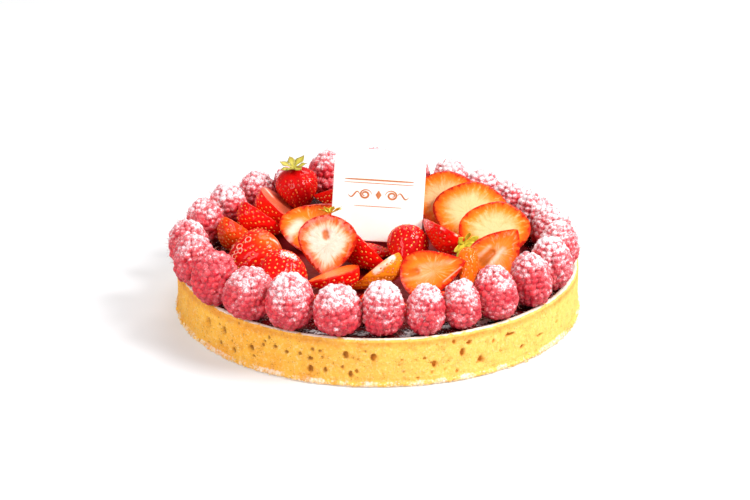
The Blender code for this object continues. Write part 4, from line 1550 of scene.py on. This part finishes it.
@dataclass
class Calyx:
    """The leaves on a strawberry's leaf end."""

    sepals: int = 7
    thickness: float = 0.6
    off: float = 0.45
    along: int = 12
    across: int = 6

    def blade(
        self,
        middle: float,
        long: float,
        curl: float,
        seed: int,
    ) -> tuple[np.ndarray, list, np.ndarray, np.ndarray]:
        """One pointed, wavy leaf as a closed flat shell.

        Args:
            middle: direction that it points in, in radians.
            long: its reach.
            curl: how far its tip rises.
            seed: which waves it has.

        Returns:
            Its points, its faces, and how far along and how near the rib each point is.
        """
        half = math.pi / self.sepals
        share = np.linspace(0, 1, self.along)[:, None]
        side = np.linspace(-1, 1, self.across)[None, :]
        widths = [0.10, 0.30 * math.tan(0.9 * half), 0.27, 0.13, 0.012]
        spread = np.interp(share, [0, 0.3, 0.58, 0.85, 1], widths) * long
        x = np.repeat(share * long, self.across, 1)
        y = spread * side
        z = 0.2 + (0.8 + curl) * share**1.3 + 0.35 * np.abs(side) * np.sin(np.pi * share)
        z = z + 0.25 * np.sin(9 * share + seed) * side
        thick = 0.5 * (0.12 + 0.38 * (1 - side**2)) * (1 - 0.6 * share)
        turned_x = x * math.cos(middle) - y * math.sin(middle)
        turned_y = x * math.sin(middle) + y * math.cos(middle)
        top = np.stack([turned_x, turned_y, z - 0.25 + thick], -1).reshape(-1, 3)
        low = np.stack([turned_x, turned_y, z - 0.25 - thick], -1).reshape(-1, 3)
        count = self.along * self.across
        faces = []
        for i in range(self.along - 1):
            for j in range(self.across - 1):
                a = i * self.across + j
                b, c, d = a + 1, a + self.across + 1, a + self.across
                faces += [(a, d, c, b), (count + a, count + b, count + c, count + d)]
        rim = list(range(self.across))
        rim += [(i + 1) * self.across - 1 for i in range(1, self.along)]
        rim += [count - 2 - j for j in range(self.across - 1)]
        rim += [i * self.across for i in range(self.along - 2, 0, -1)]
        for first, second in zip(rim, rim[1:] + rim[:1]):
            faces.append((first, second, count + second, count + first))
        reach = np.tile(np.repeat(share, self.across, 1).ravel(), 2)
        rib = np.tile(np.repeat(np.exp(-((side / 0.3) ** 2)), self.along, 0).ravel(), 2)
        return np.concatenate([top, low]), faces, reach, rib

    def build(self, number: int, fruit: Strawberry, material: bpy.types.Material) -> bpy.types.Object:
        """Builds the leaves of one strawberry.

        Args:
            number: the strawberry's place in the list of fruit.
            fruit: the strawberry.
            material: the leaves' finish.

        Returns:
            The piece.
        """
        draw = random.Random(40 + number)
        reach = fruit.leaf * fruit.width
        points, faces, reaches, ribs, base = [], [], [], [], 0
        for leaf in range(self.sepals):
            middle = 2 * math.pi * (leaf + draw.uniform(-0.15, 0.15)) / self.sepals
            long = reach * draw.uniform(0.78, 1.0)
            curl = draw.uniform(0.5, 2.6)
            more, sides, far, rib = self.blade(middle, long, curl, leaf)
            faces += [tuple(corner + base for corner in side) for side in sides]
            base += len(more)
            points.append(more)
            reaches.append(far)
            ribs.append(rib)
        back = np.array([(0, 0, -1), (0, 1, 0), (1, 0, 0)], float)
        lift = np.array([-0.5 * fruit.length - self.thickness - self.off, 0, 0.0])
        if fruit.span < 360:
            lift[2] = 0.12 * fruit.width
        own = np.concatenate(points) @ back.T + lift
        placed = own @ fruit.frame().T + fruit.move(number)
        piece = new_object(f"leaves_{fruit.name}", placed, faces, material)
        add_mark(piece.data, "reach", np.concatenate(reaches))
        add_mark(piece.data, "rib", np.concatenate(ribs))
        add_mark(piece.data, "dry", np.full(base, fruit.dry))
        return settle(piece, "leaf", f"leaf_{fruit.name}")


@dataclass
class FruitPile:
    """The strawberries in the middle, with their pips and leaves."""

    def fruit(self) -> list[Strawberry]:
        """The pieces, in the order of the solids."""
        fan = {"tone": 0.45, "pale": 0.74}
        cream, sugar, hollow, tip = Stain.CREAM_AND_HIGHLIGHT, Stain.SUGAR, Stain.HOLLOW, Stain.TIP
        return [
            Strawberry("left_a", (0.80, -0.52, -0.28), (0.50, 0.50, 0.70), 30, 23.5, tone=0.74),
            Strawberry(
                "left_b", (-0.80, -0.35, -0.30), (-0.20, 0.45, -0.85), 32, 26, 180, 0.82, tone=0.26,
                streaks=(
                    # painted highlight on the glaze
                    Streak(cream, (271.0, 239.0), (277.5, 243.0), 2.0, 0.8),
                    Streak(tip, (266.0, 238.0), (280.0, 248.0), 9.0, 0.9),
                ),
            ),
            Strawberry("left_c", (0.80, -0.52, -0.30), (0.55, 0.45, 0.70), 28, 24, tone=0.22),
            Strawberry(
                "left_d", (0.62, -0.55, -0.52), (0.85, -0.15, 0.50), 30, 24, tone=0.28, pale=0.0,
                # painted highlight along the cut edge
                streaks=(Streak(cream, (266.0, 189.0), (272.0, 196.0), 3.2, 0.75),),
            ),
            Strawberry(
                "whole_e", (0.16, 0.10, -0.98), (0.0, 0.5, 0.8), 25, 21.5, 360,
                leaf=0.45, tone=0.02, dull=True, dry=1.0,
            ),
            Strawberry(
                "back_f", (0.68, 0.56, 0.46), (-0.15, -0.75, 0.64), 31, 28, 180, 0.4, tone=0.55, pale=0.28,
                streaks=(
                    Streak(cream, (292.0, 231.0), (299.0, 224.0), 6.5, 0.75),
                    Streak(cream, (290.0, 240.0), (291.0, 231.0), 4.0, 0.55),
                ),
            ),
            Strawberry(
                "half_g", (-0.06, -0.36, -0.93), (-0.16, -0.92, 0.36), 30, 28.5, 180, 0.5, 0.7, 0.2,
                tone=0.2, pale=1.0, streaks=(Streak(hollow, (325.3, 233.3), (325.8, 236.7), 3.4, 1.1),),
            ),
            Strawberry(
                "front_h", (-0.35, -0.85, -0.10), (0.0, 0.1, -0.95), 30, 24.5, 180, 1.15, tone=0.3,
                streaks=(Streak(sugar, (284.5, 254.0), (293.5, 256.5), 6.0, 0.78),),
            ),
            Strawberry(
                "front_i", (-0.93, -0.25, -0.22), (-0.10, 0.22, 0.95), 27, 20, 180, 0.95,
                tone=0.35, pale=0.12,
            ),
            Strawberry(
                "half_j", (0.72, -0.37, -0.59), (0.62, 0.35, 0.70), 31, 28, 180, 0.85,
                tone=0.3, pale=0.1,
            ),
            Strawberry(
                "front_k", (-0.80, -0.40, -0.45), (-0.45, 0.50, 0.74), 29, 21, 180, 0.85, tone=1.3, pale=0.35,
                # painted highlight along the upper-left edge
                streaks=(Streak(cream, (393.0, 257.4), (375.5, 271.4), 2.9, 1.15),),
            ),
            Strawberry(
                "front_l", (0.94, 0.12, 0.25), (-0.02, -0.80, 0.60), 32, 23, 180, 0.5, 0.62,
                tone=0.9, pale=0.46,
                streaks=(
                    Streak(hollow, (410.0, 273.2), (416.0, 271.6), 3.4, 1.4),
                    Streak(cream, (405.0, 280.0), (432.0, 274.0), 3.0, 0.32),
                    Streak(cream, (423.0, 266.0), (450.0, 262.0), 3.8, 0.34),
                    # painted highlight along the lower cut edge
                    Streak(cream, (461.0, 267.0), (443.0, 282.0), 0.75, 0.6),
                ),
            ),
            Strawberry(
                "front_m", (-0.05, -0.62, -0.78), (-0.50, 0.70, -0.50), 24, 11, 180, 0.9,
                tone=1.08, pale=0.3,
            ),
            Strawberry(
                "right_n", (0.62, 0.26, 0.72), (-0.12, -0.85, 0.50), 29, 25, 180, 0.6,
                tone=0.5, pale=0.5,
                streaks=(
                    Streak(hollow, (482.0, 262.5), (492.0, 252.5), 3.4, 1.4),
                    Streak(cream, (488.0, 268.0), (503.0, 249.0), 2.8, 0.6),
                    Streak(cream, (477.0, 258.0), (490.0, 246.0), 2.2, 0.5),
                ),
            ),
            Strawberry(
                "fan_front", (-0.25, -0.72, -0.62), (-0.20, -0.62, 0.76), 37, 36.5, 180, 0.36, 0.82, **fan
            ),
            Strawberry(
                "fan_middle", (-0.20, -0.72, -0.62), (-0.15, -0.62, 0.77), 38, 38.5, 180, 0.3, 0.82, **fan
            ),
            Strawberry(
                "fan_back", (-0.10, -0.72, -0.62), (-0.12, -0.62, 0.77), 35, 36, 180, 0.2, 0.80, **fan
            ),
            Strawberry(
                "half_p", (-0.62, 0.78, 0.03), (0.35, 0.45, 0.80), 31, 22, leaf=0.40, tone=0.46, dull=True,
                streaks=(
                    # painted highlight along the top edge
                    Streak(cream, (441.0, 228.3), (457.0, 235.5), 1.1, 1.0),
                    Streak(sugar, (427.0, 219.0), (430.0, 227.0), 4.0, 0.5),
                ),
            ),
            Strawberry("round_q", (-0.20, -0.85, -0.45), (-0.05, 0.35, -0.94), 24, 20.5, 240, tone=0.0),
            Strawberry("under_r", (1.0, 0.0, 0.0), (0.0, 0.0, -1.0), 22, 16, 180, 0.6),
            Strawberry("low_a", (-0.92, 0.38, 0.0), (0.0, 0.05, -1.0), 28, 19, 180, 1.0),
            Strawberry("low_b", (0.98, 0.12, 0.0), (0.0, 0.05, -1.0), 29, 20, 180, 1.0),
            Strawberry("low_c", (0.90, 0.43, 0.0), (0.0, 0.05, -1.0), 27, 19, 180, 0.95),
            Strawberry("low_d", (-0.60, -0.80, 0.0), (0.0, 0.05, -1.0), 24, 15, 180, 1.0),
            Strawberry("back_v", (0.95, 0.30, 0.0), (0.0, 0.0, -1.0), 30, 22, 180, 1.0),
            Strawberry("back_w", (0.85, -0.50, 0.0), (0.0, 0.0, -1.0), 28, 19, 180, 1.0),
            Strawberry("back_x", (0.3, 0.5, -0.2), (0.1, -0.3, 0.9), 33, 26, 180, 0.8, tone=0.4, pale=0.6),
            Strawberry("back_y", (-0.9, 0.1, -0.2), (0.0, 0.45, 0.90), 30, 24, tone=0.3, pale=0.55),
            Strawberry("back_z", (0.7, 0.5, -0.2), (0.0, 0.5, 0.8), 24, 18, 360, tone=0.2),
        ]

    def build(self) -> None:
        """Builds every strawberry, the leaves, the bubbles in the glaze and the pips."""
        skin = StrawberryFinish().material()
        green = LeafFinish().material()
        made, golden, dull = {}, [], []
        for number, fruit in enumerate(self.fruit()):
            piece, pips = fruit.build(number, skin)
            made[fruit.name] = piece
            (dull if fruit.dull else golden).append(pips)
            if fruit.leaf:
                Calyx().build(number, fruit, green)
        self.bubbles(made["left_b"])
        self.pips("golden_pips", golden, PIP)
        self.pips("dull_pips", dull, DULL_PIP)

    def bubble_pixels(self) -> list[tuple[float, float]]:
        """Where bubbles have burst in the glaze of the left strawberry, as pixels of the photograph."""
        return [
            (232.5, 247.5),
            (236, 252),
            (239.5, 246.5),
            (244, 242.5),
            (234.5, 256.5),
            (240, 250.5),
            (248, 239.5),
        ]

    def bubbles(self, piece: bpy.types.Object) -> None:
        """Sets the rings of burst bubbles in the glaze of one strawberry, tinted light pink as painted
        highlights.
        """
        places, outward = Sight().meet(piece, self.bubble_pixels())
        size = np.random.default_rng(83).uniform(0.8, 1.15, len(places))
        cloud = point_cloud("bubble_spots", places, outward, np.roll(outward, 1, axis=1), size)
        rings = Repeat("glaze_bubbles", Shape.RING, (1.45, 1.45, 0.9), uneven=0.1, seed=12).grow(cloud, GLAZE_BUBBLE_HIGHLIGHT)
        settle(rings, "strawberry")

    def pips(self, name: str, groups: list[list[np.ndarray]], finish: PlainFinish) -> None:
        """Sets the pips of several strawberries.

        Args:
            name: the piece's name.
            groups: places, directions and runs of each strawberry's pips.
            finish: the pips' finish.
        """
        places, outward, along = (np.concatenate([group[k] for group in groups]) for k in range(3))
        size = np.random.default_rng(81).uniform(0.8, 1.2, len(places))
        cloud = point_cloud(name + "_spots", places, outward, along, size)
        pips = Repeat(name, Shape.PIP, (0.64, 0.42, 0.26), uneven=0.1, seed=8).grow(cloud, finish)
        settle(pips, "strawberry")


@dataclass
class Plaque:
    """The square white chocolate plaque, with a plain printed ornament."""

    size: float = 45.6
    thickness: float = 2.2
    corner: float = 5.0
    edge: float = 0.45
    foot: Point = (-1.1, 9.0, 27.6)
    lean: float = 20.0
    roll: float = 3.6

    def place(self, points: np.ndarray) -> np.ndarray:
        """Moves points of the upright plaque to where it leans."""
        lean = Matrix.Rotation(-math.radians(self.lean), 3, "X")
        roll = Matrix.Rotation(math.radians(self.roll), 3, "Y")
        return points @ np.array(lean @ roll).T + np.array(self.foot)

    def outline(self, inset: float, depth: float, steps: int = 12) -> np.ndarray:
        """The rounded square, drawn in from its edge."""
        middle = 0.5 * self.size - self.corner
        reach = self.corner - inset
        spots = []
        for x, z, start in ((1, 1, 0), (-1, 1, 90), (-1, -1, 180), (1, -1, 270)):
            for step in range(steps + 1):
                angle = math.radians(start + 90 * step / steps)
                across = x * middle + reach * math.cos(angle)
                spots.append((across, depth, z * middle + reach * math.sin(angle)))
        return np.array(spots) + np.array([0, 0, 0.5 * self.size])

    def shrunk(self, share: float, depth: float) -> np.ndarray:
        """The rounded square at a smaller size about its middle."""
        middle = np.array([0, depth, 0.5 * self.size])
        return middle + (self.outline(self.edge, depth) - middle) * share

    def tablet(self) -> bpy.types.Object:
        """The plaque itself, with softly rounded edges."""
        half = 0.5 * self.thickness
        rows = [self.shrunk(share, -half) for share in (0.3, 0.6, 0.85)]
        rows += [self.outline(self.edge + 0.25, -half), self.outline(self.edge, -half)]
        for step in range(1, 6):
            angle = math.radians(18 * step)
            inset, rise = self.edge * (1 - math.sin(angle)), self.edge * (1 - math.cos(angle))
            rows.append(self.outline(inset, -half + rise))
        for step in range(0, 6):
            angle = math.radians(18 * step)
            inset, rise = self.edge * (1 - math.cos(angle)), self.edge * (1 - math.sin(angle))
            rows.append(self.outline(inset, half - rise))
        rows += [self.outline(self.edge + 0.25, half)]
        rows += [self.shrunk(share, half) for share in (0.85, 0.6, 0.3)]
        flat = np.array(rows)
        wave = 0.05 * soft_noise(flat, 9.0, 91)
        flat[..., 1] += wave
        ends = self.place(np.array([(0, -half, 0.5 * self.size), (0, half, 0.5 * self.size)]))
        wrap = Wrap(self.place(flat.reshape(-1, 3)).reshape(flat.shape), ends[0], ends[1])
        return settle(wrap.mesh("plaque_dressed", ChocolateFinish().material()), "white_chocolate", "plaque")

    def stroke(self, path: np.ndarray, wide: np.ndarray) -> tuple[np.ndarray, list]:
        """A thin raised line on the plaque's face.

        Args:
            path: its middle line as (x, z) points of the upright face.
            wide: its width at each point.

        Returns:
            Its points and faces.
        """
        run = np.gradient(path, axis=0)
        run /= np.maximum(np.linalg.norm(run, axis=1, keepdims=True), 1e-9)
        side = np.stack([-run[:, 1], run[:, 0]], 1) * 0.5 * wide[:, None]
        front = -0.5 * self.thickness - 0.09
        back = -0.5 * self.thickness + 0.12
        rings = []
        for spot, out in zip(path, side):
            left, right = spot + out, spot - out
            rings += [
                (left[0], back, left[1]),
                (left[0], front, left[1]),
                (right[0], front, right[1]),
                (right[0], back, right[1]),
            ]
        faces = [(0, 1, 2, 3)]
        for k in range(len(path) - 1):
            low, high = 4 * k, 4 * k + 4
            faces += [(low + j, high + j, high + (j + 1) % 4, low + (j + 1) % 4) for j in range(4)]
        last = 4 * (len(path) - 1)
        faces.append((last + 3, last + 2, last + 1, last))
        return np.array(rings), faces

    def ornament(self) -> bpy.types.Object:
        """Two rules above and one below a lozenge between two scrolls."""
        strokes = []
        share = np.linspace(0, 1, 40)
        for height, reach, thick in ((30.5, 17.5, 0.75), (28.9, 17.5, 0.32), (17.4, 12.0, 0.32)):
            path = np.stack([reach * (2 * share - 1), np.full_like(share, height)], 1)
            strokes.append((path, thick * np.sin(np.pi * share) ** 0.25 + 0.05))
        for mirror in (-1, 1):
            turn = np.linspace(0, 1, 60)
            angle = 3.6 * math.pi * turn
            radius = 3.0 * (1 - 0.78 * turn)
            x = mirror * (6.4 - radius * np.cos(angle) + 0.6 * turn)
            z = 23.2 + radius * np.sin(angle) * 0.85
            strokes.append((np.stack([x, z], 1), 0.85 * np.sin(np.pi * turn) ** 0.8 + 0.12))
            wave = 22.9 + 1.7 * np.sin(2 * math.pi * share) * (1 - 0.4 * share)
            lobe = np.stack([mirror * (9.2 + 6.0 * share), wave], 1)
            strokes.append((lobe, 0.65 * np.sin(np.pi * share) ** 0.9 + 0.1))
        lozenge = np.stack([np.zeros_like(share), 20.9 + 4.6 * share], 1)
        strokes.append((lozenge, 3.0 * (1 - np.abs(2 * share - 1)) + 0.03))
        points, faces, base = [], [], 0
        for path, wide in strokes:
            more, sides = self.stroke(path, wide)
            faces += [tuple(corner + base for corner in face) for face in sides]
            points.append(more)
            base += len(more)
        piece = new_object("plaque_ornament", self.place(np.concatenate(points)), faces, PRINT.material())
        turn_outward(piece.data)
        piece.data.set_sharp_from_angle(angle=math.radians(40))
        return settle(piece, "white_chocolate")

    def build(self) -> None:
        """Builds the plaque and its ornament."""
        self.tablet()
        self.ornament()


def turn_outward(data: bpy.types.Mesh) -> None:
    """Turns every closed part of a mesh so that its faces point outwards."""
    work = bmesh.new()
    work.from_mesh(data)
    bmesh.ops.recalc_face_normals(work, faces=work.faces)
    work.to_mesh(data)
    work.free()


@dataclass
class IcingSugar:
    """Loose grains on the raspberries, the jam and the rim."""

    size: float = 0.15

    def build(self, berries: list[bpy.types.Object], jam: bpy.types.Object, crust: bpy.types.Object) -> None:
        """Scatters the grains.

        Args:
            berries: the dressed raspberries.
            jam: the dressed filling.
            crust: the dressed shell.
        """
        hosts = (
            ("sugar_on_raspberries", "raspberry", berries, 5.5e5, 1.0),
            ("sugar_on_jam", "jam", [jam], 4.5e5, 1.25),
            ("sugar_on_crust", "pastry", [crust], 6.0e5, 0.9),
        )
        for number, (name, slot, pieces, density, share) in enumerate(hosts):
            host = joined_faces(pieces, "grains")
            size = self.size * share
            recipe = Repeat(name, Shape.GRAIN, (size, size, size), 0.5, density, "grains", 20 + number)
            settle(recipe.grow(host, SUGAR), slot)


@dataclass
class Crumbs:
    """Fine crumbs along the shell's foot."""

    count: int = 900
    radius: float = 99.9

    def build(self) -> bpy.types.Object:
        """Sets the crumbs on the foot.

        Returns:
            The piece.
        """
        draw = np.random.default_rng(95)
        angle = draw.uniform(0, 2 * np.pi, self.count)
        out = self.radius + draw.normal(scale=0.28, size=self.count)
        up = np.abs(draw.normal(scale=0.9, size=self.count)) + 0.35
        places = np.stack([out * np.cos(angle), out * np.sin(angle), up], 1)
        ways = draw.normal(size=(self.count, 3))
        size = draw.uniform(0.5, 1.25, self.count)
        cloud = point_cloud("crumb_spots", places, ways, np.roll(ways, 1, axis=1), size)
        crumbs = Repeat("pastry_crumbs", Shape.CRUMB, (0.42, 0.33, 0.26), seed=9).grow(cloud, CRUMB)
        return settle(crumbs, "pastry")


@dataclass
class Studio:
    """Camera, lights and floor."""

    sight: Sight = Sight()

    def camera(self) -> None:
        """Sets the camera at the photograph's angle."""
        lens = bpy.data.cameras.new("camera")
        lens.sensor_width = 36.0
        lens.lens = self.sight.focal / (2 * self.sight.middle[0]) * lens.sensor_width
        lens.clip_start = 0.01
        made = bpy.data.objects.new("camera", lens)
        made.location = self.sight.eye() * MM
        made.rotation_euler = (-self.sight.back()).to_track_quat("-Z", "Y").to_euler()
        bpy.context.scene.collection.objects.link(made)
        bpy.context.scene.camera = made

    def lamp(self, name: str, azimuth: float, height: float, away: float, size: float, power: float) -> None:
        """Adds a square lamp that looks at the tart.

        Args:
            name: its name.
            azimuth: where it stands, in degrees, with the viewer at 270.
            height: its height above the horizon, in degrees.
            away: its distance in metres.
            size: its side in metres.
            power: its power in watts.
        """
        light = bpy.data.lights.new(name, "AREA")
        light.size = size
        light.energy = power
        made = bpy.data.objects.new(name, light)
        turn, rise = math.radians(azimuth), math.radians(height)
        way = Vector((math.cos(turn) * math.cos(rise), math.sin(turn) * math.cos(rise), math.sin(rise)))
        made.location = way * away
        made.rotation_euler = (-way).to_track_quat("-Z", "Y").to_euler()
        bpy.context.scene.collection.objects.link(made)

    def build(self) -> None:
        """Builds the studio."""
        self.camera()
        self.lamp("key", 336, 44, 1.3, 0.5, 20)
        self.lamp("back", 75, 58, 1.4, 0.8, 10)
        self.lamp("fill", 232, 32, 1.6, 0.9, 16)
        world = bpy.data.worlds.new("studio")
        world.use_nodes = True
        world.node_tree.nodes["Background"].inputs["Color"].default_value = (1, 1, 1, 1)
        world.node_tree.nodes["Background"].inputs["Strength"].default_value = 0.22
        bpy.context.scene.world = world
        bpy.context.scene.view_settings.view_transform = "Standard"
        floor = new_object(
            "floor",
            np.array([(-4000, -4000, -0.2), (4000, -4000, -0.2), (4000, 6000, -0.2), (-4000, 6000, -0.2)]),
            [(0, 1, 2, 3)],
            FLOOR.material(),
        )


def main() -> None:
    """Builds the tart's looks and the studio, in order."""
    logging.basicConfig(level=logging.INFO, format="%(message)s", stream=sys.stdout)
    Studio().build()
    crust = Crust().build()
    jam = JamFilling().build()
    berries = RaspberryRing().build()
    FruitPile().build()
    Plaque().build()
    Crumbs().build()
    IcingSugar().build(berries, jam, crust)


if __name__ == "__main__":
    main()
